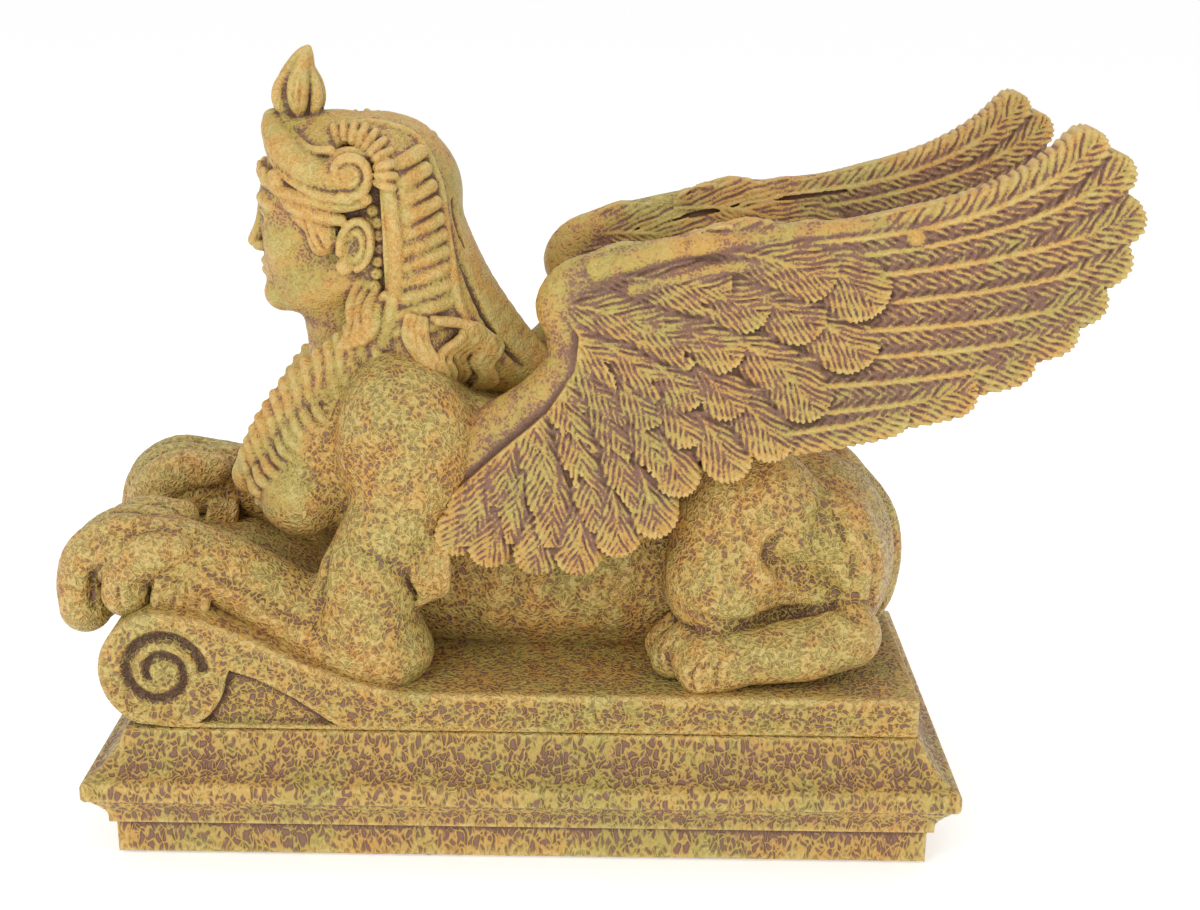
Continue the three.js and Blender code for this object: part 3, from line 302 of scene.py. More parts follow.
def piece_from(name, clay, most, keep=None):
    """A smooth mesh of the clay with at most so many triangles, and how hollow each place is."""
    clock = time.time()
    solid = clay.whole()
    half = clay.d.shape[1] - 1
    if keep == "left":
        solid, half = clay.d[:, ::-1], clay.d.shape[1] - 1
    if keep == "right":
        solid, half = clay.d, 0
    grid = openvdb.FloatGrid(Clay.FAR)
    grid.copyFromArray(np.ascontiguousarray(solid))
    points, quads = grid.convertToQuads(0.0)
    origin = np.array([clay.low[0], -half * clay.cell, clay.low[2]])
    mesh = bpy.data.meshes.new(name)
    mesh.vertices.add(len(points))
    mesh.vertices.foreach_set("co", ((points * clay.cell + origin) * MM).astype(np.float32).ravel())
    mesh.loops.add(4 * len(quads))
    mesh.loops.foreach_set("vertex_index", quads[:, ::-1].astype(np.int32).ravel())
    mesh.polygons.add(len(quads))
    mesh.polygons.foreach_set("loop_start", np.arange(0, 4 * len(quads), 4, dtype=np.int32))
    mesh.update(calc_edges=True)
    piece = bpy.data.objects.new(name, mesh)
    bpy.context.collection.objects.link(piece)
    if 2 * len(quads) > most:
        thin = piece.modifiers.new("thin", "DECIMATE")
        thin.ratio = most / (2 * len(quads))
        thinned = bpy.data.meshes.new_from_object(
            piece.evaluated_get(bpy.context.evaluated_depsgraph_get())
        )
        piece.modifiers.clear()
        piece.data = thinned
        bpy.data.meshes.remove(mesh)
        thinned.name = name
        mesh = thinned
    mesh.shade_smooth()
    at = np.empty(3 * len(mesh.vertices), dtype=np.float32)
    mesh.vertices.foreach_get("co", at)
    at = (at.reshape(-1, 3) / MM - origin) / clay.cell
    for label, millimetres in HOLLOWS.items():
        near = np.clip(solid, -DEEPEST, DEEPEST)
        mean = blurred(near, max(1, round(millimetres / clay.cell)))
        depth = -sampled(mean, at) / millimetres
        attribute = mesh.attributes.new(label, "FLOAT", "POINT")
        attribute.data.foreach_set("value", depth.astype(np.float32))
        print(f"  {label}: {np.percentile(depth, [2, 50, 98]).round(3)}")
    print(f"{name}: {len(mesh.polygons)} faces, from {2 * len(quads)}, {time.time() - clock:.1f} s")
    return piece


# %% [markdown]
# ## The body
# The lion's body is a heavy rib cage, a long back and belly, and big folded haunches. Each is an
# egg or a limb, and the fillets between them are wide, as muscle under skin is.

# %% Rib cage, belly and haunches
BODY_CELL = 0.55


def model_body(clay):
    clay.add(egg((-42, 0, 104), (30, 34, 34)))
    clay.add(limb([(-30, 0, 103, 30), (5, 0, 93, 29), (40, 0, 83, 28), (80, 0, 80, 30)]), 10)
    clay.add(limb([(-40, 0, 72, 26), (5, 0, 71, 29), (60, 0, 70, 26)]), 10)
    clay.add(limb([(-26, 22, 120, 12), (10, 26, 112, 10), (36, 24, 104, 8)]), 9)
    # Haunch: rump, thigh, knee, hind thigh, shin and heel.
    clay.add(egg((84, 14, 79), (27, 30, 31)), 8)
    clay.add(egg((66, 31, 92), (23, 17, 27), (0, 12, 0)), 3)
    clay.add(egg((57, 37, 78), (16, 15, 17), (0, -20, 0)), 6)
    clay.add(egg((94, 31, 84), (13, 14, 21), (0, -8, 0)), 3)
    clay.add(limb([(95, 43, 65, 10), (82, 47, 62, 9.5), (54, 48, 59, 8.5)]), 2)
    clay.add(egg((93, 44, 67), (9, 8, 9)), 2)
    clay.add(egg((55, 48, 58), (12, 9.5, 9.4)), 3)
    # The hollow between thigh and shank, with the skin folded up at its front end.
    stifle = [(73, 98, 1.6), (70.5, 91, 3.6), (77, 86, 4.4), (87, 80, 3.6), (98, 73, 1.4)]
    clay.groove(stifle, 1.2, 3.5)
    clay.cord([(72, 100, 0.9), (66.5, 96, 1.6), (66, 89, 1.9), (71, 83.5, 1.2)], -0.2, 3)
    clay.groove([(51, 73, 1), (62, 70.5, 1.6), (76, 71.5, 1.8), (90, 74.5, 1.2)], 0.6, 2)
    for fold in (
        [(90, 101, 0.8), (94.5, 89, 1.4), (97, 78, 1)],
        [(99, 97, 0.8), (103, 86, 1.3), (102, 75, 1)],
    ):
        clay.groove(fold, 0.5, 2)
    # Flank: soft folds ahead of the knee and over the belly.
    for x, lean in ((-8, 3), (3, 2), (12, 1), (20, 2), (28, 3)):
        clay.cord([(x + lean, 90, 1), (x + 0.6, 76, 1.9), (x - 2, 62, 1.2)], -1.3, 5)
    clay.groove([(40, 98, 1), (38, 82, 2), (39, 68, 2), (46, 62, 1)], 0.8, 4)


def model_tail(clay):
    run = [(97, 0, 106, 3), (109, 0, 91, 4), (113, 0, 77, 4), (111, 0, 63, 4.6), (106, 0, 56, 6)]
    clay.press(run, 2.5)
    for y in (0.5, 2.4, 4.2):
        clay.carve(limb([(113, y * 0.6, 66, 0.4), (110.5, y, 58, 0.6), (108, y, 52, 0.5)]), 0.8)


def model_hind_paw(clay):
    # Toes side by side, each with furrows between its claws.
    toes = [(42, 35, 60, 6.4), (43.5, 43, 59.6, 6.6), (51.5, 50.8, 58.4, 6.8)]
    for x, y, z, r in toes:
        clay.add(limb([(x + 14, y - 3, z + 3, r), (x + 5, y, z + 2, r + 0.6), (x, y, z - 2.4, r)]), 0.8)
        for way in (-0.45, 0.1, 0.65):
            furrow = [(x - r * 0.7, y + r * way, z + 2.6, 0.3), (x - r * 0.98, y + r * way, z - 2, 0.5),
                      (x - r * 0.9, y + r * way, z - 6, 0.5)]
            clay.carve(limb(curved(furrow)), 0.8)
    # Fur drawn down over the toes, cut as seen from the side.
    for x, z in ((41.5, 65), (44.5, 65.5), (51, 62), (54.4, 63), (57.8, 63.6)):
        stroke = [(x, z, 0.4), (x - 2.6, z - 4, 0.8), (x - 1.8, z - 9, 0.6)]
        clay.groove(stroke, 0.35, 0.8)


# %% [markdown]
# ## The forelegs
# The upper arm is as thick as a lion's but set on a human shoulder. It stands on its elbow, and
# the forearm climbs the sweep of the slab, so that the paw hangs over the scroll. Toes are short
# limbs side by side, with a hard edge between them, and tufts of fur hang behind the arm and
# under the wrist.

# %% Shoulder, arm, paw and tufts
def model_forelegs(clay):
    clay.add(limb([(-46, 0, 131, 17), (-37, 26, 128, 16)]), 8)
    clay.add(egg((-35, 34, 117), (20, 15, 25), (0, -6, 0)), 5)
    clay.add(limb([(-38, 38, 98, 13.5), (-46, 41, 80, 14.5), (-46, 42, 63, 14.5)]), 4)
    clay.add(egg((-35, 38, 107), (13.5, 12.5, 12)), 2)
    clay.add(egg((-42, 42, 58), (15, 13, 12)), 5)
    forearm = [(-50, 41, 61, 13), (-68, 38, 68, 12), (-88, 37, 80, 11), (-104, 36.5, 86, 10.5)]
    clay.add(limb(forearm), 6)
    ridge = [(-40, 46, 55, 8), (-61, 47, 61, 6), (-76, 45, 70, 5), (-92, 44, 80, 5), (-106, 43, 86, 5)]
    clay.press(ridge, 3)
    clay.groove([(-58, 66, 0.8), (-76, 76, 1.4), (-94, 86, 0.8)], 0.7, 2.5)
    clay.groove([(-61, 70, 1.6), (-59, 80, 1.6), (-57, 92, 1)], 0.8, 3)
    clay.groove([(-46, 92, 0.8), (-36, 88, 1.2), (-32, 80, 0.8)], 0.6, 3)


def model_front_paw(clay):
    clay.add(egg((-114, 36, 85), (17, 15, 11.5), (0, 10, 0)), 4)
    # Three long toes hang over the roll, and the outer one lies on top of it.
    for y, back in ((23.6, 4), (31.4, 0.8), (39.4, 0)):
        toe = [(-108 + back, y, 92, 5.2), (-119 + back, y, 91.4, 6.8), (-127.6 + back, y, 85.6, 7.4)]
        toe += [(-131 + back, y, 77.4, 6.9), (-129.9 + back, y, 69.4, 7.8)]
        clay.press(toe, 0.7)
        for way in (-0.5, 0.1, 0.7):
            end = y + way * 5.5
            furrow = [(-136.6 + back, end, 74, 0.3), (-138 + back, end, 68, 0.5)]
            furrow.append((-134.5 + back, end, 62, 0.5))
            clay.carve(limb(curved(furrow)), 0.8)
    outer = [(-101, 44, 89, 5.4), (-109, 46, 88, 6.6), (-114.6, 46.6, 83.4, 6.8), (-115.6, 46.8, 77, 7.2)]
    clay.press(outer, 0.8)
    for x in (-119.6, -115.8, -112):
        clay.carve(limb([(x - 0.4, 53, 81, 0.3), (x, 54.2, 76.6, 0.5), (x + 1, 53, 72, 0.5)]), 0.8)
    clay.groove([(-121, 88, 0.8), (-125.6, 81, 1.2), (-126, 72, 1)], 0.6, 1.5)


def model_tufts(clay):
    # Behind the arm: locks that sweep down in an S and curl in at the tip.
    for k in range(5):
        lock = [(-38 + 2.6 * k, 46 - 0.6 * k, 99 - k, 1.2), (-33 + 2.3 * k, 47.6 - 0.8 * k, 92, 1.7)]
        lock.append((-32 + 2.2 * k, 47.4 - 0.8 * k, 84 - 0.4 * k, 1.8))
        lock.append((-29.6 + 1.4 * k, 45.4 - 0.6 * k, 77, 1.6))
        clay.press([*lock, (-33 + 1.8 * k, 43.6 - 0.3 * k, 71.6 + k, 0.8)], 0.3)
    # Under the wrist: short fur that hangs onto the roll.
    for k in range(5):
        x = -107 + 3.2 * k
        strand = [(x, 45 + 0.5 * k, 85.5 - 1.6 * k, 1.5), (x + 1.4, 48.6, 80 - 1.2 * k, 1.9),
                  (x + 0.6, 50, 74.6 - k, 1.7), (x + 2.4, 51, 70.4 - 1.4 * k, 1.1)]
        clay.press(strand, 0.4)
    for k in range(4):
        strand = [(-106 + 2 * k, 28, 86 - k, 1.9), (-105 + 2 * k, 24.6, 80 - k, 2)]
        clay.press([*strand, (-107 + 2.6 * k, 23.6, 74.5 - 1.2 * k, 1.2)], 0.5)


# %% [markdown]
# ## Breast and neck
# The human part starts at the rib cage. The breast is full and the collar broad, because the
# neck has to carry the mass of the headdress.

# %% Breast, collar and neck
NECK = {"body": 13.0, "head": 14.0}  # the body's neck hides inside the head's


def model_bust(clay, neck):
    clay.add(egg((-60, 12, 112), (19, 20, 21)), 6)
    clay.add(egg((-67, 20, 99), (14, 14.5, 13)), 3)
    clay.add(egg((-80.4, 22, 97), (1.9, 1.9, 1.9)), 1)
    clay.add(limb([(-50, 0, 130, neck + 3), (-55, 0, 148, neck - 0.5), (-57, 0, 168, neck)]), 6)
    clay.add(limb([(-52, 4, 136, 5), (-40, 26, 137, 6)]), 5)


body_clay = Clay((-143, 46), (120, 62, 170), BODY_CELL)
for model in (model_body, model_tail, model_hind_paw, model_forelegs, model_front_paw, model_tufts):
    model(body_clay)
model_bust(body_clay, NECK["body"])
print(f"body clay ready at {time.time() - started:.1f} s")

# %% [markdown]
# ## The head
# The face is calm and regular: eyes halfway up the head, the nose ending halfway from the brow to
# the chin, and the mouth a third of the way from the nose to the chin.

# %% Face
HEAD_CELL = 0.4


def model_face(clay):
    clay.add(egg((-57, 0, 187), (23, 19.5, 24)), 4)
    clay.add(egg((-65, 0, 177), (15.2, 15.2, 20)), 5)
    clay.add(egg((-70, 8, 171.5), (8.0, 7, 8)), 4)
    clay.add(egg((-64, 0, 164.5), (14, 13, 9.5)), 5)
    clay.add(limb([(-52, 13, 164, 5), (-64, 9.5, 158, 5), (-74, 2.5, 156, 4.6)]), 5)
    clay.add(egg((-75.8, 0, 156.4), (4.6, 5.4, 4.4)), 3)
    clay.add(egg((-76.4, 0, 165), (3.6, 6.4, 5)), 3)
    # Sockets, brows, eyes and lids.
    clay.carve(egg((-83, 6.9, 180.4), (4.2, 5.2, 3.0)), 2.5)
    clay.press([(-79.2, 2.6, 184.6, 1.3), (-79, 7.5, 186, 1.3), (-75.2, 12.6, 184, 1.1)], 2)
    clay.add(egg((-74.9, 6.8, 180), (3.7, 4.2, 3.1)), 0.3)
    lid = [(-77.6, 2.9, 180.2, 0.6), (-78.9, 6.8, 182, 0.75), (-76.6, 10.8, 180.2, 0.6)]
    clay.press(lid, 0.4)
    lower_lid = [(-77.8, 3.4, 179.4, 0.5), (-78.4, 6.8, 177.9, 0.55), (-76.4, 10.4, 179.3, 0.5)]
    clay.press(lower_lid, 0.5)
    # Nose.
    clay.press([(-78.6, 0, 186, 1.7), (-80.8, 0, 178, 1.6), (-83, 0, 172, 2.0)], 2)
    clay.add(egg((-80.8, 2.4, 170.8), (2.4, 1.6, 1.6)), 0.8)
    clay.carve(egg((-82, 1.4, 169.4), (0.9, 0.7, 0.8)), 0.4)
    # Lips.
    upper_lip = [(-80.2, 0, 166, 1.1), (-79.8, 2, 166.1, 1.0), (-78, 4.6, 165.1, 0.5)]
    clay.press(upper_lip, 0.7)
    lower_lip = [(-79.9, 0, 163.2, 1.3), (-79.4, 2, 163.3, 1.1), (-77.8, 4.2, 164.2, 0.5)]
    clay.press(lower_lip, 0.7)
    parting = [(-81.6, 0, 164.6, 0.3), (-80.8, 2.4, 164.7, 0.3), (-78.6, 5, 164.5, 0.3)]
    clay.carve(limb(parting), 0.4)


# %% [markdown]
# ## Headcloth, ribbed bands and lappets
# An Egyptian headcloth covers the hair. It is a smooth shell behind a stiff ribbed band, and the
# band runs on as a lappet over the breast. The ribs are laid on the surface wherever it is, so
# that a rib needs only its place seen from the side. The cloth stops at the band, and skin and
# hair lie deeper ahead of it.

# %% Cloth
def model_cloth(clay):
    # The cloth covers what is behind the band, and above the diadem.
    def covered(x, y, z):
        return np.minimum(-41.5 - x, 199 - 0.5 * (x + 41.5) - z) + 0 * y

    clay.add(trimmed(egg((-47, 0, 187), (26.5, 24.5, 23.6)), covered), 0.8)
    fall = [(-45, 0, 187, 22.5), (-38, 0, 172, 19.6), (-28, 0, 155, 17.6)]
    fall += [(-14, 0, 141, 13.6), (0, 0, 133, 7.6)]
    clay.add(trimmed(limb(curved(fall), 1.25), covered), 1.5)
    clay.add(limb([(-34, 19, 152, 8.5), (-31, 22, 141, 8.5)]), 5)
    # Hair fills most of the step between the ear and the edge of the cloth.
    clay.press([(-45.5, 14.5, 191, 5), (-45, 14.5, 176, 5), (-45, 13.5, 161, 5)], 3)
    rim = [(-54.9, 207.6, 0.9), (-48, 208.6, 1), (-41, 208, 1.1), (-32.6, 204.4, 1.2), (-27, 195, 1.2),
           (-24.6, 184, 1.3), (-22.6, 170, 1.3), (-20.5, 158, 1.3), (-17, 150, 1.1)]
    clay.cord(rim, -0.1, 1)
    # Soft folds down the back.
    for y in (4.5, 9.5, 14.5):
        fold = [(-23, y, 186, 0.5), (-19.5, y, 168, 0.9), (-12, y, 149, 0.9), (-2, y * 0.8, 137, 0.6)]
        clay.carve(limb(curved(fold)), 1.6)


def model_ribs(clay):
    # The inner strip, notched finely, then the broad bars that lean up toward the back.
    strip = [(-40.5, 198, 2.4), (-38.8, 186, 2.6), (-37.8, 174, 2.7), (-38.2, 162, 2.8), (-40, 151, 2.8)]
    clay.cord(strip, -0.9, 0.8)
    edge = clay.lay(strip, 0.8, 9)
    for x, y, z, r in edge[::2]:
        clay.carve(limb([(x - 2.6, y, z - 0.2, 0.35), (x + 2.4, y, z + 0.5, 0.45)]), 0.5)
    for n in range(11):
        z = 198.5 - 4.75 * n
        spread = n / 10
        left = float(np.interp(z, [150, 163, 175, 186, 199], [-37.5, -36, -35.4, -36, -38]))
        right = float(np.interp(z, [150, 163, 175, 186, 199], [-22.8, -24.6, -25.6, -27.6, -31.5]))
        middle = (left + right) / 2
        bar = [(left, z - 0.8, 2.1), (middle, z + 0.6, 2.5), (right, z + 2.6, 2.3)]
        clay.cord(bar, -1.75 + 0.3 * spread, 0.3)


def model_lappet(clay):
    path = [(-43, 21, 147, 9.5), (-53, 20.5, 138.5, 9.4), (-65.5, 20, 128.5, 9)]
    path += [(-75, 19.5, 117, 8), (-83.5, 18, 104, 6)]
    clay.press(path, 1.0, 0.62)
    run = np.array(curved(path, 12))
    line = np.diff(run[:, [0, 2]], axis=0)
    walked = np.concatenate([[0], np.cumsum(np.hypot(*line.T))])
    for walk in np.arange(2.0, walked[-1], 4.1):
        x, z, r = (np.interp(walk, walked, run[:, c]) for c in (0, 2, 3))
        i = min(int(np.searchsorted(walked, walk)), len(line)) - 1
        ahead = line[i] / np.hypot(*line[i])
        across = np.array([-ahead[1], ahead[0]])
        for way, lean in ((-1, 5.0), (1, 1.0)):
            start = np.array([x, z]) + way * across * 0.8
            end = np.array([x, z]) + way * across * (r - 0.6) + ahead * lean * way
            middle = (start + end) / 2 + ahead * 0.8 * way
            rib = [(*start, 1.8), (*middle, 2.05), (*end, 1.7)]
            clay.add(limb(clay.lay(rib, -1.25, 2)), 0.3)


# %% [markdown]
# ## Ear, hair and locks
# Hair is laid on as cords: waves over the ear, small curls on the brow, a column of beads between
# ear and band, and loose locks that come out from under the cloth on the shoulder.

# %% Cords of hair
def spiral(centre, along, up, radius, turns, tube):
    """Stations round a spiral in the plane of along and up. turns is (from, to)."""
    centre, along, up = (np.array(v, float) for v in (centre, along, up))
    steps = max(4, round(abs(turns[1] - turns[0]) * 16))
    made = []
    for s in range(steps + 1):
        w = s / steps
        angle = 2 * math.pi * (turns[0] + (turns[1] - turns[0]) * w)
        r = radius[0] + (radius[1] - radius[0]) * w
        place = centre + r * (math.cos(angle) * along + math.sin(angle) * up)
        made.append((*place, tube[0] + (tube[1] - tube[0]) * w))
    return made


def model_ear(clay):
    clay.add(egg((-49.8, 18.2, 174.2), (5.2, 4, 7.6), (0, 12, 0)), 1)
    clay.carve(egg((-50.6, 23, 174.6), (3.0, 2.6, 4.9), (0, 12, 0)), 0.8)
    tilted = ((1, 0.1, -0.15), (0.28, 0, 1.62))
    rim = spiral((-49.8, 21.2, 174.6), *tilted, (4.3, 4.5), (-0.2, 0.56), (1.05, 1.3))
    clay.add(limb(rim), 0.4)
    fold = spiral((-50.4, 20.8, 174.2), *tilted, (2.3, 2.6), (-0.22, 0.26), (0.75, 0.85))
    clay.add(limb(fold), 0.4)
    clay.add(egg((-53.2, 20.4, 168.4), (2.6, 1.9, 2.6)), 0.7)
    clay.add(egg((-54.2, 20.2, 173), (1.2, 1.4, 1.9)), 0.6)


def model_hair(clay):
    waves = [
        [(-75.6, 10.5, 191, 2), (-71, 14.5, 189, 2.4), (-65, 18, 187.8, 2.5), (-59, 20, 187, 2.5),
         (-53, 21, 186.6, 2.4), (-47.5, 21.6, 187.6, 2)],
        [(-72.6, 12.6, 188, 1.4), (-69, 15.6, 185.6, 2.3), (-64, 18.4, 183.8, 2.6),
         (-58.5, 20, 182.8, 2.4), (-54, 20.6, 182, 1.8)],
        [(-69.4, 14.6, 184, 1.2), (-65.6, 17, 181.6, 2.2), (-61.5, 18.4, 179, 3.2), (-60.2, 18, 174, 3)],
    ]
    for wave in waves:
        clay.press(wave, 0.6)
    clay.add(egg((-59.4, 17.8, 177), (4.8, 3.9, 5.6)), 1)
    for shift in (-1.5, 1.2):
        groove = [(-63 + shift, 181.5, 0.35), (-62 + shift, 177.5, 0.5), (-60 + shift, 173.5, 0.4)]
        clay.groove(groove, 0.1, 0.5)
    # Curls on the brow, under the diadem.
    for x, y, z, size in ((-79.6, 3.4, 193.2, 3), (-77.6, 9.2, 192, 3.1), (-74, 13.8, 192, 3)):
        outward = math.atan2(y, -(x + 57))
        beside = (math.sin(outward), math.cos(outward), 0)
        clay.add(egg((x + 1.6, y - 0.6, z), (size, size + 0.4, size)), 0.8)
        curl = spiral((x, y, z), beside, (0, 0, 1), (size - 0.5, 0.7), (0.1, 1.35), (1.05, 0.8))
        clay.add(limb(curl), 0.3)
    # Beads between ear and band.
    for n, z in enumerate(np.arange(188.5, 160, -3.7)):
        x = float(np.interp(z, [160, 169, 175, 181, 189], [-45.2, -43.6, -42.6, -43.2, -46.4]))
        bead = (x, clay.side(x, z) + 0.3, float(z))
        clay.add(egg(bead, (1.9, 1.7, 1.8)), 0.3)
        clay.carve(egg((x - 0.2, bead[1] + 1.8, z), (0.6, 0.8, 0.6)), 0.4)


def model_locks(clay):
    # Strands that run down from behind the ear to the collar.
    for n in range(4):
        shift = 2.7 * n
        strand = [(-49.4 + shift, 163.5 - n, 1.5), (-51.6 + shift, 157, 1.9)]
        strand += [(-51 + 0.8 * shift, 151.5, 1.9), (-54 + 0.8 * shift, 145.5 + 0.8 * n, 1.5)]
        clay.cord(strand, -0.2, 0.5)
    locks = [
        [(-32, 155, 2.4), (-32, 148.5, 3), (-28.4, 142.4, 2.8), (-29, 135.6, 1.6)],
        [(-25, 153.4, 2.6), (-18, 151.6, 3), (-16.4, 147.4, 3), (-22.4, 143.2, 3), (-21, 137.4, 2.9),
         (-23.6, 132.6, 2.2), (-28.4, 132, 1.2)],
        [(-15.6, 150, 2.4), (-11, 144.6, 2.7), (-14, 139.4, 2.6), (-12, 133.8, 2.2), (-16, 129.4, 1.3)],
    ]
    # Each lock is a ribbon of four thin strands that lie side by side and meet at the tip.
    ribbons = []
    for lock in locks:
        for shift in (-1.05, -0.35, 0.35, 1.05):
            strand = [(x + shift * r * 0.9, z - shift * r * 0.3, 0.4 * r + 0.25) for x, z, r in lock]
            ribbons.append(clay.lay(strand, 0.9 - 0.5 * abs(shift)))
    for strand in ribbons:
        clay.add(limb(strand), 0.3)


# %% [markdown]
# ## Diadem, volute and crest
# The diadem is a curved plate that ends over each ear in a ram's-horn volute, with small pleats
# of cloth fanned round it. A leaf bud stands over the brow.

# %% Diadem and volute
VOLUTE = (-50.8, 24.0, 195.6)


def model_diadem(clay):
    plate = [(-76, 0, 208, 3), (-74.4, 5, 205, 4.2), (-70.4, 11, 200.4, 5), (-64.4, 16, 196.4, 5.2)]
    clay.press([*plate, (-57, 18.6, 194.4, 5.6), (-51.5, 19.6, 194.6, 6)], 1.2)
    lower = [(-77.6, 0, 205, 1.3), (-76.9, 5, 202, 1.3), (-74.2, 11, 197.6, 1.4)]
    lower += [(-69.6, 16.2, 193.6, 1.4), (-64, 20, 190.8, 1.4), (-58, 22.6, 189, 1.5)]
    lower.append((-50.8, 24, 188.6, 1.6))
    clay.press(lower, 0.6)
    upper = [(-73, 0, 212, 1.2), (-71.8, 5, 208.4, 1.2), (-67.6, 10.6, 204, 1.2)]
    upper += [(-62.6, 16.6, 201.6, 1.2), (-56, 21.4, 202, 1.3)]
    clay.press(upper, 0.6)
    # Volute: a boss, and a horn that winds round it. Pleats fan out above and behind.
    x, y, z = VOLUTE
    clay.add(egg((x, y - 3.4, z), (7.4, 4.4, 7.4)), 0.8)
    for n in range(10):
        angle = math.radians(116 - 14.5 * n)
        inner, outer = ((x + r * math.cos(angle), z + r * math.sin(angle)) for r in (8.4, 13.2))
        middle = ((inner[0] + outer[0]) / 2, (inner[1] + outer[1]) / 2)
        pleat = [(*inner, 1.3), (*middle, 1.5), (*outer, 1.1)]
        clay.cord(pleat, 0.3, 0.4)
    horn = spiral(VOLUTE, (1, 0, 0), (0, 0, 1), (6.6, 1.2), (0.7, 2.3), (1.55, 1.3))
    clay.add(limb(horn), 0.2)
    clay.add(egg((x, y + 0.3, z), (1.5, 1.3, 1.5)), 0.3)


# %% [markdown]
# ## Crest
# A closed bud stands on a small cushion over the brow. It is one tall lump, flattened from side to
# side, with a petal laid on each face and a leaf at its front and back, as a modeller would press
# them on. A lathe shape would be too even for it.

# %% Crest
def model_crest(clay):
    clay.add(egg((-67, 0, 206.5), (9, 8, 4)), 2)
    bud = [(-68.2, 0, 208, 6.2), (-68.8, 0, 213, 6.5), (-68.6, 0, 217.5, 6), (-67.6, 0, 221.8, 4.6)]
    clay.press([*bud, (-66.2, 0, 225.8, 2.9), (-65, 0, 228.3, 1.2)], 1, 0.72)
    lobe = [(-67.4, 4.2, 209.5, 1.4), (-67.6, 4.6, 214, 3), (-67.4, 4, 218.5, 3.2)]
    lobe += [(-66.4, 2.4, 223.4, 2.2), (-65.4, 0.8, 227, 1.2)]
    clay.press(lobe, 0.3)
    for x, reach in ((-73.6, 1.6), (-62.6, -0.8)):
        leaf = [(x + reach * 1.4, 3.2, 209, 1.3), (x, 3.2, 213.5, 1.9), (x + reach * 0.3, 2.6, 218, 1.8)]
        clay.press([*leaf, (x + reach * 2, 1.6, 222.4, 1.2)], 0.3)
    for shift in (-1.1, 0.9):
        vein = [(-67.5 + shift * 0.4, 211, 0.3), (-67.5 + shift, 216, 0.45)]
        vein.append((-66.6 + shift * 0.6, 222, 0.3))
        clay.groove(vein, 0.1, 0.4)
    knot = spiral((-75.6, 2.2, 208.4), (1, 0, 0), (0, 0, 1), (1.9, 0.3), (0, 1.4), (0.9, 0.7))
    clay.add(limb(knot), 0.3)


head_clay = Clay((-92, 98), (12, 42, 234), HEAD_CELL)
model_bust(head_clay, NECK["head"])
for model in (model_face, model_ear, model_cloth, model_ribs, model_lappet, model_diadem):
    model(head_clay)
for model in (model_hair, model_locks, model_crest):
    model(head_clay)
print(f"head clay ready at {time.time() - started:.1f} s")

# %% [markdown]
# ## Body and head as pieces
# The figure was cast in one. It is skinned here in two pieces that pass through each other inside
# the neck, because the face and hair need a finer grid than the haunch.

# %% Pieces of the figure
body = piece_from("body", body_clay, FINE)
head = piece_from("head", head_clay, FINE)
body_clay = head_clay = None

# %% [markdown]
# ## The wings
# A wing is a leaf of clay that follows a gently splayed middle surface. On the real statue its
# feathers were cut into the model before it was moulded, so they are all one body with it. They
# are worked out as a relief seen from the side: a feather is a curved spine with a width, its
# top is a little rounded, it rises toward the tip, and barbs run from the spine to the edges.
# Where feathers overlap, the higher one shows, so each row lies over the next like tiles.

# %% Feathers
WING = {"root": 33, "splay": 14, "hang": 7, "thickness": 4.6, "lift": 3.8, "crown": 2.3, "lap": 2.4}
WING_CELL = 0.42
RELIEF = 0.75  # how much of a feather's height each side of the wing takes
shake = np.random.default_rng(11)


def smoothstep(a, b, v):
    t = np.clip((v - a) / (b - a), 0, 1)
    return t * t * (3 - 2 * t)


def wing_middle(x, z):
    return WING["root"] + WING["splay"] * smoothstep(-20, 190, x) + WING["hang"] * smoothstep(150, 92, z)


def feather(root, mid, tip, half_width, kind):
    t = np.linspace(0, 1, 11)[:, None]
    root, mid, tip = (np.array(v, float) for v in (root, mid, tip))
    spine = (1 - t) ** 2 * root + 2 * t * (1 - t) * mid + t**2 * tip
    return {"spine": spine, "half_width": half_width, "kind": kind, "phase": shake.uniform(0, 1),
            "lift": shake.uniform(0.9, 1.1)}


BARBS = {
    "flight": {"slant": 1.7, "pitch": 3.1, "shaft_width": 0.9, "shaft_height": 0.9},
    "covert": {"slant": 2.2, "pitch": 3.3, "shaft_width": 0.6, "shaft_height": 0.3},
}
BARB_DEPTH, BARB_SHAKE, BARB_BEND = 0.9, 0.35, 0.35
RAGGED = 0.8  # how far the edge runs in between two barbs
TURNED_DOWN = 1.1  # how far the two edges of a feather drop
COVERT = {"length": 30, "width": 0.6, "tip": 0.95, "turns": (5, 3, -2)}
FAN = {"x": -7, "z": 163.5, "from": -101, "to": 13}
FAN_REACH = np.array([[-101, 73], [-68, 79], [-40, 75], [-25, 86], [1, 105], [13, 108]])
COVERT_ROWS = [(0.34, 5), (0.50, 7), (0.66, 9), (0.82, 11), (1, 12)]
FLIGHT = [
    ((70, 181), (130, 185), (150, 209), 5.8),
    ((72, 176), (133, 182), (157, 202), 6.8),
    ((70, 170), (132, 176), (159.5, 190), 7.8),
    ((68, 163), (130, 167), (157, 179), 8),
    ((64, 156), (125, 158), (151.5, 168), 8),
    ((60, 148), (118, 150), (144.5, 159), 8),
    ((54, 139), (108, 142), (133.5, 150), 8),
    ((46, 130), (96, 134), (118.5, 141), 8),
    ((38, 122), (82, 128), (101, 134), 7),
]
WING_FRONT = np.array(
    [[84, -32], [106, -22], [119, -8], [131, 6], [143, 14], [153, 15], [162, 10], [176, 20]]
)


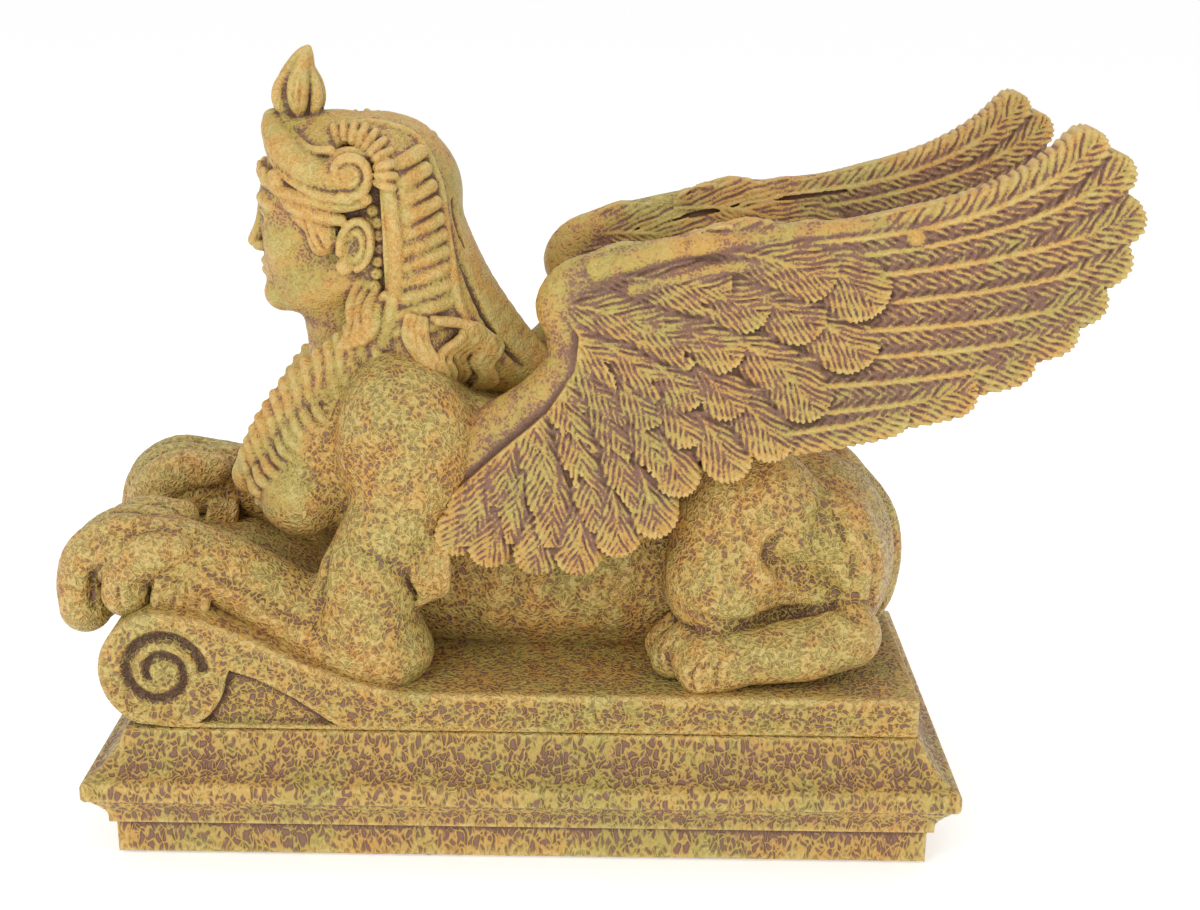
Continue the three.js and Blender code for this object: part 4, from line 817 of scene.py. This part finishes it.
def coverts():
    """Rows of short feathers, fanned round the wrist of the wing. Every other row is shifted by
    half a feather, as tiles are."""
    made = []
    spread = FAN["to"] - FAN["from"]
    for row, (share, number) in enumerate(COVERT_ROWS):
        for n in range(number):
            angle = FAN["from"] + spread * (n + 0.5 * (row % 2) + 0.25) / number
            reach = float(np.interp(angle, FAN_REACH[:, 0], FAN_REACH[:, 1])) * share
            half_width = math.radians(COVERT["width"] * reach * spread / number)
            angle += shake.uniform(-1.2, 1.2)
            tip = COVERT["tip"] + shake.uniform(-0.03, 0.02)
            start = max(0.0, 1 - COVERT["length"] / reach)
            bend = []
            for share_of_reach, turn in zip((start, (1 + start) / 2, tip), COVERT["turns"]):
                a, out = math.radians(angle + turn), reach * share_of_reach
                bend.append((FAN["x"] + out * math.cos(a), FAN["z"] + out * math.sin(a)))
            made.append(feather(*bend, half_width, "covert"))
    return made


# %% [markdown]
# ## The relief of a wing
# A height is worked out for each place of the wing seen from the side, as a carver thinks of low
# relief. The spine of a feather gives how far along and how far across a place is, and from those
# two numbers come the edge, the rise, the shaft and the barbs. Modelling each barb as a mesh of
# its own would take millions of triangles and leave seams.

# %% The relief of a wing
def across_and_along(spine, gx, gz):
    """For each place: how far from the spine, on which side, and how far along it."""
    far, side, along = (np.full(gx.shape, v) for v in (99.0, 0.0, 0.0))
    walked = 0.0
    for s, (a, b) in enumerate(zip(spine[:-1], spine[1:])):
        v = b - a
        length = np.hypot(*v)
        raw = ((gx - a[0]) * v[0] + (gz - a[1]) * v[1]) / length**2
        t = np.clip(raw, 0, 1)
        off = np.hypot(gx - a[0] - v[0] * t, gz - a[1] - v[1] * t)
        closer = off < far
        far = np.where(closer, off, far)
        side = np.where(closer, ((gx - a[0]) * v[1] - (gz - a[1]) * v[0]) / length, side)
        reached = raw if s == len(spine) - 2 else t
        along = np.where(closer, walked + length * reached, along)
        walked += length
    return far, side, along, walked


def feather_relief(f, gx, gz):
    """How far outside the feather each place is, and its height."""
    far, side, along, length = across_and_along(f["spine"], gx, gz)
    run = np.clip(along / length, 0, 1)
    barb = BARBS[f["kind"]]
    half = f["half_width"] * np.minimum(1, 0.6 + run)
    across = np.clip(side / half, -1, 1)
    # Barbs leave the shaft at a slant and bend toward the tip.
    slant = barb["slant"] * np.abs(side) - BARB_BEND * side**2 / f["half_width"]
    depth = BARB_DEPTH + BARB_SHAKE * np.sin(along * 0.9 + 1.3 * side + 20 * f["phase"])
    wobble = 0.35 * np.sin(along * 0.8 + 9 * f["phase"]) + 0.25 * np.sin(side * 1.7 + along * 0.35)
    turn = (along - slant + wobble) / barb["pitch"] + f["phase"] + 0.5 * (side > 0)
    wave = np.abs(np.sin(np.pi * turn))
    ragged = RAGGED * (1 - wave) * smoothstep(0.4, 0.9, run)
    rise = WING["lift"] * f["lift"] * run + WING["crown"] * (1 - across**2) + WING["lap"] * across / 2
    shaft = np.exp(-((side / barb["shaft_width"]) ** 2)) * smoothstep(1.0, 0.8, run)
    rise -= TURNED_DOWN * smoothstep(0.7, 1.0, np.abs(across))
    rise += barb["shaft_height"] * shaft - depth * (1 - wave) * (1 - shaft)
    return far - half + ragged, rise


def wing_relief(feathers, x, z):
    """Over the wing seen from the side: how far outside it each place is, and how thick it is."""
    outside = np.full((len(x), len(z)), 30.0)
    height = np.zeros((len(x), len(z)))
    for f in feathers:
        reach = f["half_width"] + 6
        lo, hi = f["spine"].min(0) - reach, f["spine"].max(0) + reach
        i0, i1 = np.searchsorted(x, [lo[0], hi[0]])
        k0, k1 = np.searchsorted(z, [lo[1], hi[1]])
        gx, gz = np.meshgrid(x[i0:i1], z[k0:k1], indexing="ij")
        out, rise = feather_relief(f, gx, gz)
        where = (slice(i0, i1), slice(k0, k1))
        height[where] = np.where(out < 0, np.maximum(height[where], rise), height[where])
        edge = (out >= 0) & (out < outside[where]) & (outside[where] > 0)
        height[where] = np.where(edge, rise, height[where])
        outside[where] = np.minimum(outside[where], out)
    front = np.interp(z, WING_FRONT[:, 0], WING_FRONT[:, 1])
    return np.maximum(outside, front[None, :] - x[:, None]), height


# %% [markdown]
# ## The wing in the round
# The relief is laid on both sides of a curved middle surface, so the leaf of the wing has a true
# thickness. The bony arm and the long top edge are limbs pressed on afterwards, because on the
# casting they are round and smooth.

# %% The wing as clay
def model_wing():
    clay = Clay((-34, 84), (172, 62, 218), WING_CELL)
    x = clay.low[0] + WING_CELL * np.arange(clay.d.shape[0])
    z = clay.low[2] + WING_CELL * np.arange(clay.d.shape[2])
    flight = [feather(*spec, "flight") for spec in FLIGHT]
    outside, height = wing_relief([*flight, *coverts()], x, z)
    middle = wing_middle(x[:, None], z[None, :])
    for j in range(clay.d.shape[1]):
        off = np.abs(j * WING_CELL - middle) - WING["thickness"] / 2 - RELIEF * height
        both = np.hypot(np.maximum(outside, 0), np.maximum(off, 0))
        clay.d[:, j] = np.where((outside > 0) & (off > 0), both, np.maximum(outside, off))
    np.clip(clay.d, -Clay.FAR, Clay.FAR, out=clay.d)
    # The arm of the wing: an S from the shoulder to behind the headdress, then the top edge.
    arm = [(-20, 30, 106, 12), (-10, 31, 119, 10.5), (4, 32, 131, 8.6), (12, 33, 143, 7),
           (12, 33, 153, 6.6), (9.5, 33.5, 161, 7), (14, 34, 168, 6.4), (26, 35.5, 173, 5.2)]
    clay.press(arm, 1.2, 0.9)
    top = [(20, 35.5, 172, 4.6), (46, 38, 179, 3.6), (75, 40, 183.4, 3), (104, 42.6, 186.6, 2.8)]
    clay.press(top, 0.6, 1.25)
    under = [(30, 36.5, 167, 3.4), (50, 38.5, 172.6, 3), (75, 40.4, 177, 2.6), (103, 42.6, 180.6, 2.6)]
    clay.press(under, 0.6, 1.5)
    for side in (-1, 1):
        shift = side * 5.6
        clay.carve(limb(curved([(32, 36.6 + shift, 171, 0.7), (60, 39.4 + shift, 178, 0.9),
                                (98, 42.4 + shift, 183.6, 0.7)])), 0.8)
    clay.add(egg((107, 43, 184.2), (4.4, 6, 4.2)), 0.6)
    return clay


wing_clay = model_wing()
left_wing = piece_from("left_wing", wing_clay, FINE, "left")
right_wing = piece_from("right_wing", wing_clay, FINE, "right")
wing_clay = None
print(f"wings ready at {time.time() - started:.1f} s")

# %% [markdown]
# ## The slab with its scroll
# The slab is a board of clay whose front end is rolled up. Its side is one outline: a flat top, a
# sweep that rises, and the roll. The outline is pushed across the width with rounded edges, then
# the sunk panel and the spiral groove are cut in its face. A bevelled extrusion could give the
# board, but the spiral cut needs the clay.

# %% Slab
SLAB = {"half_length": 115, "half_depth": 58.4, "top": 51, "bottom": 39}
ROLL = {"x": -104.6, "z": 56.6, "radius": 18}
SLAB_CELL = 0.5
SLAB_TRIANGLES = 110000
EDGE = 1.2  # how far the edges of the slab are rounded
PANEL = {"depth": 2.4, "low": 40.5}
COIL = {"outer": 12.4, "gain": 9, "start": 8, "turns": 1.55, "wide": 1.9, "taper": 0.6, "steps": 48}


def outline_distance(points, x, z):
    """Signed distance from a closed outline in (x, z)."""
    points = np.array(points, float)
    best = np.full(np.broadcast(x, z).shape, 1e6)
    inside = np.zeros(best.shape, bool)
    for a, b in zip(points, np.roll(points, -1, axis=0)):
        vx, vz = b - a
        t = np.clip(((x - a[0]) * vx + (z - a[1]) * vz) / (vx * vx + vz * vz), 0, 1)
        best = np.minimum(best, (x - a[0] - vx * t) ** 2 + (z - a[1] - vz * t) ** 2)
        meets = (b[0] - a[0]) * (z - a[1]) / (b[1] - a[1] + 1e-12) + a[0]
        inside ^= ((a[1] > z) != (b[1] > z)) & (x < meets)
    return np.where(inside, -np.sqrt(best), np.sqrt(best)).astype(np.float32)


def on_roll(radius, degrees):
    a = math.radians(degrees)
    return ROLL["x"] + radius * math.cos(a), ROLL["z"] + radius * math.sin(a)


def rounded_cut(a, b, radius):
    """The intersection of two distances, with a rounded edge."""
    both = np.maximum(a + radius, 0), np.maximum(b + radius, 0)
    return np.minimum(np.maximum(a, b), -radius) + np.hypot(*both)


def model_slab():
    clay = Clay((-128, 36), (120, 62, 80), SLAB_CELL)
    x = clay.low[0] + SLAB_CELL * np.arange(clay.d.shape[0])[:, None]
    z = clay.low[2] + SLAB_CELL * np.arange(clay.d.shape[2])[None, :]
    sweep = [(-35, SLAB["top"]), (-50, 54.5), (-65, 60.5), (-80, 67.8), (-92, 72.8)]
    roll = [on_roll(ROLL["radius"], degrees) for degrees in range(90, 252, 6)]
    profile = [(SLAB["half_length"], SLAB["bottom"]), (SLAB["half_length"], SLAB["top"]), *sweep, *roll]
    side = outline_distance([*profile, (-101, SLAB["bottom"])], x, z)
    for j in range(clay.d.shape[1]):
        clay.d[:, j] = rounded_cut(side, np.float32(j * SLAB_CELL - SLAB["half_depth"]), EDGE)
    np.clip(clay.d, -Clay.FAR, Clay.FAR, out=clay.d)
    face = SLAB["half_depth"]
    # The sunk panel, then the spiral.
    panel = [(-54, PANEL["low"]), (-66, 49), (-77, 55), (-84.5, 57.5)]
    panel += [on_roll(ROLL["radius"] + 1, degrees) for degrees in range(-6, -57, -10)]
    sunk = outline_distance([*panel, (-88, PANEL["low"])], x, z)
    for j in range(clay.d.shape[1]):
        cut = rounded_cut(sunk, np.float32(face - PANEL["depth"] - j * SLAB_CELL), 0.4)
        clay.d[:, j] = np.maximum(clay.d[:, j], -cut)
    coil = []
    for s in range(COIL["steps"] + 1):
        run = s / COIL["steps"]
        px, pz = on_roll(COIL["outer"] - COIL["gain"] * run, COIL["start"] + 360 * COIL["turns"] * run)
        coil.append((px, face - 0.1, pz, COIL["wide"] - COIL["taper"] * run))
    clay.carve(limb(coil), 1.2)
    clay.add(egg((ROLL["x"], face - 1.2, ROLL["z"]), (3, 2.2, 3)), 0.8)
    return clay


slab = piece_from("scroll_slab", model_slab(), SLAB_TRIANGLES)
print(f"slab ready at {time.time() - started:.1f} s")

# %% [markdown]
# ## The plinth
# A moulded plinth is a rectangle with a profile run round it, as a mason runs a template. For each
# place the distance in from the edge and the height are looked up in the profile, which turns the
# corners by itself. It is skinned from a grid like the rest, so its paint has a fine, slightly
# uneven cast surface to sit on.

# %% Plinth
PLINTH = {"half_length": 127, "half_depth": 70, "top": 39, "foot": 0.8}
PLINTH_CELL = 0.6
PLINTH_TRIANGLES = 100000
CORNER = 1.0  # radius of the four upright edges
ARRIS = 0.35  # radius of the edges that run along the moulding
CORE = -60  # the profile is closed this far inside
OUTSIDE, LEVEL = 2, 0.25  # the table starts this far outside, and has a row for each step inward
MOULDING = [
    (8, 0.8), (8, 11), (6.2, 11.4), (6.2, 13.4), (5.6, 15.4), (4.2, 17.4), (2.8, 19), (2.2, 20.2),
    (0.8, 20.6), (0, 21.6), (0, 25.6), (1, 26.8), (3.2, 27.8), (5.6, 29.8), (7.8, 32.4),
    (9.6, 35.4), (10.8, 37.6), (11.2, 39),
]


def model_plinth():
    clay = Clay((-129, -1), (129, 72, 41), PLINTH_CELL)
    x, y, z = np.ix_(*[
        (clay.low[i] + PLINTH_CELL * np.arange(clay.d.shape[i])).astype(np.float32) for i in range(3)
    ])
    # How far in from the edge each place is.
    ax, ay = np.abs(x) - PLINTH["half_length"] + CORNER, y - PLINTH["half_depth"] + CORNER
    inward = np.hypot(np.maximum(ax, 0), np.maximum(ay, 0)) + np.minimum(np.maximum(ax, ay), 0) - CORNER
    # The distance from the profile for each step inward and each height, then looked up.
    levels = np.arange(0, PLINTH["half_depth"] + 3, LEVEL)
    heights = z.ravel()
    outline = [(-inset, height) for inset, height in MOULDING]
    outline += [(CORE, PLINTH["top"]), (CORE, PLINTH["foot"])]
    table = outline_distance(outline, (OUTSIDE - levels)[:, None], heights[None, :]) + ARRIS
    place = np.clip((OUTSIDE - inward) / LEVEL, 0, len(levels) - 1.001)
    base = place.astype(np.int32)
    t = (place - base).astype(np.float32)
    k = np.arange(len(heights))[None, None, :]
    base, t = np.broadcast_arrays(base, t)
    distance = (1 - t) * table[base, k] + t * table[base + 1, k]
    clay.d[:] = np.clip(distance, -Clay.FAR, Clay.FAR) - ARRIS
    return clay


plinth = piece_from("moulded_plinth", model_plinth(), PLINTH_TRIANGLES)
print(f"plinth ready at {time.time() - started:.1f} s")

# %% [markdown]
# ## The felt under the plinth
# A thin black felt is glued on the underside, a little smaller than the foot. It was cut by hand,
# so its edge is ragged. It is made as a ring of points that wander in and out, with a middle.

# %% Felt pad
FELT = {"margin": 0.0008, "wander": 0.0003, "long_steps": 240, "short_steps": 120}
FELT_EDGE = ((0.0, 0.0006), (0.25, 0.0), (0.75, 0.0), (1.0, 0.0005))  # share of height, inset
FELT_SIDES = ((-1, -1, 1, -1), (1, -1, 1, 1), (1, 1, -1, 1), (-1, 1, -1, -1))


def felt_outline(half):
    """Points round the felt, which wander in and out as a hand-cut edge does."""
    draw = np.random.default_rng(5)
    around = []
    for side, (ax, ay, bx, by) in enumerate(FELT_SIDES):
        steps = FELT["long_steps"] if side % 2 == 0 else FELT["short_steps"]
        for s in range(steps):
            w = s / steps
            around.append(((ax + (bx - ax) * w) * half[0], (ay + (by - ay) * w) * half[1]))
    ring = np.array(around)
    wander = draw.uniform(-1, 1, len(ring))
    wander = (wander + np.roll(wander, 1) + 0.6 * np.roll(wander, 7)) * FELT["wander"]
    return ring * (1 + wander[:, None] / np.linalg.norm(ring, axis=1)[:, None])


def felt_pad():
    low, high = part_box("felt_pad")
    half = np.array([high.x - low.x, high.y - low.y]) / 2 - FELT["margin"]
    ring = felt_outline(half)
    thick = high.z - low.z
    rows = []
    for share, inset in FELT_EDGE:
        shrunk = ring * (1 - inset / half.min())
        rows.append(np.column_stack([shrunk, np.full(len(ring), low.z + share * thick)]))
    count = len(ring)
    faces = []
    for row in range(len(rows) - 1):
        for i in range(count):
            a, b = row * count + i, row * count + (i + 1) % count
            faces.append((a, b, b + count, a + count))
    top_row = (len(rows) - 1) * count
    bottom = len(rows) * count
    for i in range(count):
        faces.append(((i + 1) % count, i, bottom))
        faces.append((top_row + i, top_row + (i + 1) % count, bottom + 1))
    points = np.concatenate([*rows, [[0, 0, low.z]], [[0, 0, high.z]]])
    mesh = bpy.data.meshes.new("black_felt")
    mesh.from_pydata(points.tolist(), [], faces)
    mesh.update()
    piece = bpy.data.objects.new("black_felt", mesh)
    bpy.context.collection.objects.link(piece)
    print(f"black_felt: {len(faces)} faces, {thick / MM:.1f} mm thick")
    return piece


felt = felt_pad()

# %% [markdown]
# ## Mixing paint
# A painted finish is arithmetic on masks: how hollow a place is, how rough, how high. One small
# class lets that arithmetic be written as Python, and each operator adds a Math node.

# %% A wire, and the paint it belongs to
class Wire:
    """A number that runs through a material, and the operators on it."""

    def __init__(self, paint, socket):
        self.paint, self.socket = paint, socket

    def with_(self, operation, first, second):
        return self.paint.node("ShaderNodeMath", {"operation": operation}, {0: first, 1: second})

    def __add__(self, other):
        return self.with_("ADD", self, other)

    def __sub__(self, other):
        return self.with_("SUBTRACT", self, other)

    def __rsub__(self, other):
        return self.with_("SUBTRACT", other, self)

    def __mul__(self, other):
        return self.with_("MULTIPLY", self, other)

    __radd__ = __add__
    __rmul__ = __mul__


class Paint:
    """A material on the bench, with the tools to mix it."""

    def __init__(self, name):
        self.material = bpy.data.materials.new(name)
        self.material.use_nodes = True
        self.tree = self.material.node_tree
        self.tree.nodes.clear()

    def node(self, kind, settings, sockets, output=0):
        """Add a node: its settings first, then a value or a wire for each socket."""
        made = self.tree.nodes.new(kind)
        for key, value in settings.items():
            setattr(made, key, value)
        for key, value in sockets.items():
            if isinstance(value, Wire):
                self.tree.links.new(value.socket, made.inputs[key])
            else:
                made.inputs[key].default_value = value
        return Wire(self, made.outputs[output]) if made.outputs else None

    def between(self, value, low, high):
        """0 below low, 1 above high, and a smooth step from one to the other."""
        return self.node(
            "ShaderNodeMapRange",
            {"interpolation_type": "SMOOTHSTEP"},
            {"Value": value, "From Min": low, "From Max": high, "To Min": 0.0, "To Max": 1.0},
        )

    def blend(self, mask, under, over):
        """Colour over on colour under, where the mask is 1."""
        return self.node(
            "ShaderNodeMix",
            {"data_type": "RGBA", "clamp_factor": True},
            {0: mask, 6: under, 7: over},
            2,
        )

    def finish(self, shader):
        self.node("ShaderNodeOutputMaterial", {}, {"Surface": shader})
        print(f"{self.material.name}: {len(self.tree.nodes)} nodes")
        return self.material


def colour(red, green, blue):
    """A colour as a paint chart gives it, 0 to 255, in the linear light that shaders use."""
    made = []
    for value in (red, green, blue):
        v = value / 255
        made.append(v / 12.92 if v <= 0.04045 else ((v + 0.055) / 1.055) ** 2.4)
    return (*made, 1.0)


# %% [markdown]
# ## Cast stone, in paint
# The resin is painted to look like old mottled stone. First comes a purple-brown ground. Ochre is
# then dragged over it with a nearly dry brush, so it stays on the rims of the small scoops and on
# the ridges of the carving, and the ground shows in every hollow. The hue of the brush drifts
# between green and orange. The scoops are about two millimetres wide. A Voronoi pattern gives
# them: the distance to the nearest border between cells is small on a rim and large on a floor.
# The depth of the carving, measured on the clay, does the rest: the deepest hollows get a darker brown as
# painted shade, and the rims that stand out most get a pale that is partly rubbed paint and partly a
# painted highlight.

# %% Colours on the palette
GROUND = colour(128, 90, 80)
# The deeper brown is painted shade, laid in the depth of the carving.
SHADE_BROWN = colour(80, 50, 40)
OCHRE = colour(206, 165, 82)
GREEN = colour(170, 162, 76)
ORANGE = colour(208, 150, 64)
# The pale colour is partly rubbed paint and partly a painted highlight.
PALE_RUB_AND_HIGHLIGHT = colour(228, 204, 138)


# %% How the brush and the scoops behave
NOISES = {"grain": (1.5, 2.0), "patch": (0.17, 1.0), "tint": (0.04, 1.0)}  # waves in a mm, detail
DRIFT = {"scale": 0.45, "reach": 3}  # the scoops wander this far, in mm
SCOOP_FLOOR = 0.34  # from here inward a scoop is floor, and outward it is rim
BRUSH = {"scoop": 0.9, "grain": 1.3, "patch": 1.2, "pit": 2.6, "hollow": 1.2}  # what steers it
STEPS = {  # between which two values each mask goes from none to all
    "took": (-0.25, 0.3),
    "green": (0.45, 0.75),
    # deep: where the painted shade in the hollows comes in.
    "warm": (0.2, 0.7),
    "painted_shade": (0.08, 0.4),
    # rubbed: where the pale rubbed paint and painted highlight come in.
    "rub_and_highlight": (0.35, 1.1),
}
# The pale on the rims is partly rubbed paint and partly a painted highlight.
GREENED, RUB_AND_HIGHLIGHT = 0.8, 0.45  # the most that green or pale paint covers
THINLY, FULLY = 0.08, 0.93  # how much ochre lies where the brush missed, and where it reached
SURFACE = {"roughness": 0.56, "brushed": 0.14, "grain": 0.2, "depth": 0.55 * MM}


def noise(paint, place, scale, detail, output=0):
    sockets = {"Vector": place, "Scale": scale, "Detail": detail}
    return paint.node("ShaderNodeTexNoise", {}, sockets, output)


def scoop_floors(paint, in_mm, scoop):
    """1 on the floor of a scoop and 0 on its rim. The scoops wander, so that none is regular."""
    drift = noise(paint, in_mm, DRIFT["scale"], 0.0, "Color")
    reach = (DRIFT["reach"],) * 3
    wandering = paint.node(
        "ShaderNodeVectorMath", {"operation": "MULTIPLY_ADD"}, {0: drift, 1: reach, 2: in_mm}
    )
    cells = {"Vector": wandering, "Scale": 1 / scoop}
    border = paint.node("ShaderNodeTexVoronoi", {"feature": "DISTANCE_TO_EDGE"}, cells, "Distance")
    return paint.between(border, 0.0, SCOOP_FLOOR)


# %% Painted stone
def stone_paint(name, scoop=2.4, tall=1.0, scooped=1.0, ochre=0.5, orange=0.4):
    """Painted stone. scoop is the width of a scoop in mm and tall its height over its width,
    scooped how strong the scoops are, ochre how much the brush took, orange its tint."""
    paint = Paint(name)
    place = paint.node("ShaderNodeTexCoord", {}, {}, "Object")
    in_mm = paint.node(
        "ShaderNodeVectorMath", {"operation": "MULTIPLY"}, {0: place, 1: (1000, 1000, 1000 / tall)}
    )
    floor_of_scoop = scoop_floors(paint, in_mm, scoop)
    grain, patch, tint = (noise(paint, in_mm, *NOISES[kind]) for kind in NOISES)
    pit, hollow = (
        paint.node("ShaderNodeAttribute", {"attribute_name": label}, {}, "Fac") for label in HOLLOWS
    )
    speck = grain - 0.5
    # How well the brush reached a place: rims and ridges first, and patches by chance.
    reached = ochre - floor_of_scoop * (BRUSH["scoop"] * scooped) + speck * BRUSH["grain"]
    reached = reached + (patch - 0.5) * BRUSH["patch"] - pit * BRUSH["pit"] - hollow * BRUSH["hollow"]
    took = paint.between(reached, *STEPS["took"])
    # The hue of the brush: green in some places, orange where the form stands out.
    leaf = paint.between(patch * 0.5 + tint * 0.6 + speck * 0.9, *STEPS["green"])
    brushed = paint.blend(leaf * GREENED, OCHRE, GREEN)
    warm = paint.between(1.25 - patch - tint + speck * 0.6 - hollow, *STEPS["warm"])
    brushed = paint.blend(warm * orange, brushed, ORANGE)
    # Painted shade: the ground is darkened to a deeper brown in the depth of the carving, where shade
    # falls.
    painted_shade = paint.between(pit + hollow * 0.6 - speck * 0.4, *STEPS["painted_shade"])
    ground = paint.blend(painted_shade, GROUND, SHADE_BROWN)
    painted = paint.blend(took * (FULLY - THINLY) + THINLY, ground, brushed)
    # Where the brush reached best, as on a sharp edge, the paint is rubbed pale, and the same pale is
    # also a painted highlight on the rims that stand out most.
    rub_and_highlight = paint.between(reached + speck * 0.8, *STEPS["rub_and_highlight"])
    painted = paint.blend(rub_and_highlight * RUB_AND_HIGHLIGHT, painted, PALE_RUB_AND_HIGHLIGHT)
    relief = grain * 0.35 - floor_of_scoop * scooped
    bumps = paint.node(
        "ShaderNodeBump", {}, {"Height": relief, "Strength": 1.0, "Distance": SURFACE["depth"]}
    )
    rough = SURFACE["roughness"] - took * SURFACE["brushed"] + speck * SURFACE["grain"]
    sockets = {"Base Color": painted, "Roughness": rough, "Normal": bumps, "Specular IOR Level": 0.5}
    return paint.finish(paint.node("ShaderNodeBsdfPrincipled", {}, sockets))


# %% [markdown]
# ## Felt, in paint
# Felt is a mat of short fibres. A distorted noise gives the fibres, a bump raises them, and a
# little sheen catches the light at a low angle, as on any cloth.

# %% Felt
FIBRES = {"Scale": 2600.0, "Detail": 4.0, "Distortion": 2.0}
BLACK, WORN = colour(20, 19, 21), colour(52, 48, 50)
NAP = 0.4 * MM  # how far the fibres stand up


def felt_paint():
    paint = Paint("black_felt")
    place = paint.node("ShaderNodeTexCoord", {}, {}, "Object")
    fibres = paint.node("ShaderNodeTexNoise", {}, {"Vector": place, **FIBRES})
    tone = paint.blend(paint.between(fibres, 0.4, 0.7), BLACK, WORN)
    nap = paint.node("ShaderNodeBump", {}, {"Height": fibres, "Strength": 1.0, "Distance": NAP})
    shader = paint.node(
        "ShaderNodeBsdfPrincipled",
        {},
        {"Base Color": tone, "Roughness": 0.95, "Normal": nap, "Sheen Weight": 0.4},
    )
    return paint.finish(shader)


for piece, paint in (
    (body, stone_paint("stone_body", 1.8, ochre=0.74, orange=0.9)),
    (head, stone_paint("stone_head", 1.6, scooped=0.4, ochre=0.42, orange=0.8)),
    (slab, stone_paint("stone_slab", 1.9, ochre=0.56, orange=0.6)),
    (plinth, stone_paint("stone_plinth", 1.9, tall=2.0, ochre=0.44)),
    (felt, felt_paint()),
):
    piece.data.materials.append(paint)
feathered = stone_paint("stone_wing", 1.8, scooped=0.35, ochre=0.02, orange=0.6)
for piece in (left_wing, right_wing):
    piece.data.materials.append(feathered)

# %% [markdown]
# ## Floor
# The statue stands on pale paper. It glows a little, so that it stays pale under soft lamps.

# %% Floor
FAR = 20  # m, half the side of the paper
GREY, GLOW = 0.86, 0.45
floor_mesh = bpy.data.meshes.new("floor")
floor_mesh.from_pydata(
    [(-FAR, -FAR, 0), (FAR, -FAR, 0), (FAR, FAR, 0), (-FAR, FAR, 0)], [], [(0, 1, 2, 3)]
)
floor = bpy.data.objects.new("floor", floor_mesh)
bpy.context.collection.objects.link(floor)
paper = Paint("white_paper")
floor_mesh.materials.append(
    paper.finish(
        paper.node(
            "ShaderNodeBsdfPrincipled",
            {},
            {"Base Color": (GREY, GREY, GREY, 1), "Roughness": 0.9, "Emission Strength": GLOW,
             "Emission Color": (1, 1, 1, 1)},
        )
    )
)

# %% [markdown]
# ## Join to the frame
# Each piece is parented to the root, and the solid that it stands for is hidden. The body, the head,
# both wings and the slab are one casting, so all five replace the same solid.

# %% Join to the frame
for piece in (body, head, left_wing, right_wing, slab):
    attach(piece, "root")
    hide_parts("sphinx")
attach(plinth, "root")
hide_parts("plinth")
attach(felt, "root")
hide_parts("felt_pad")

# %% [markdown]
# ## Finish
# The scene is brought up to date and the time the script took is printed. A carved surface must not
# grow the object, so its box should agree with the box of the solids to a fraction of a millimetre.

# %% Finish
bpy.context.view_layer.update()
print(f"script took {time.time() - started:.1f} s")
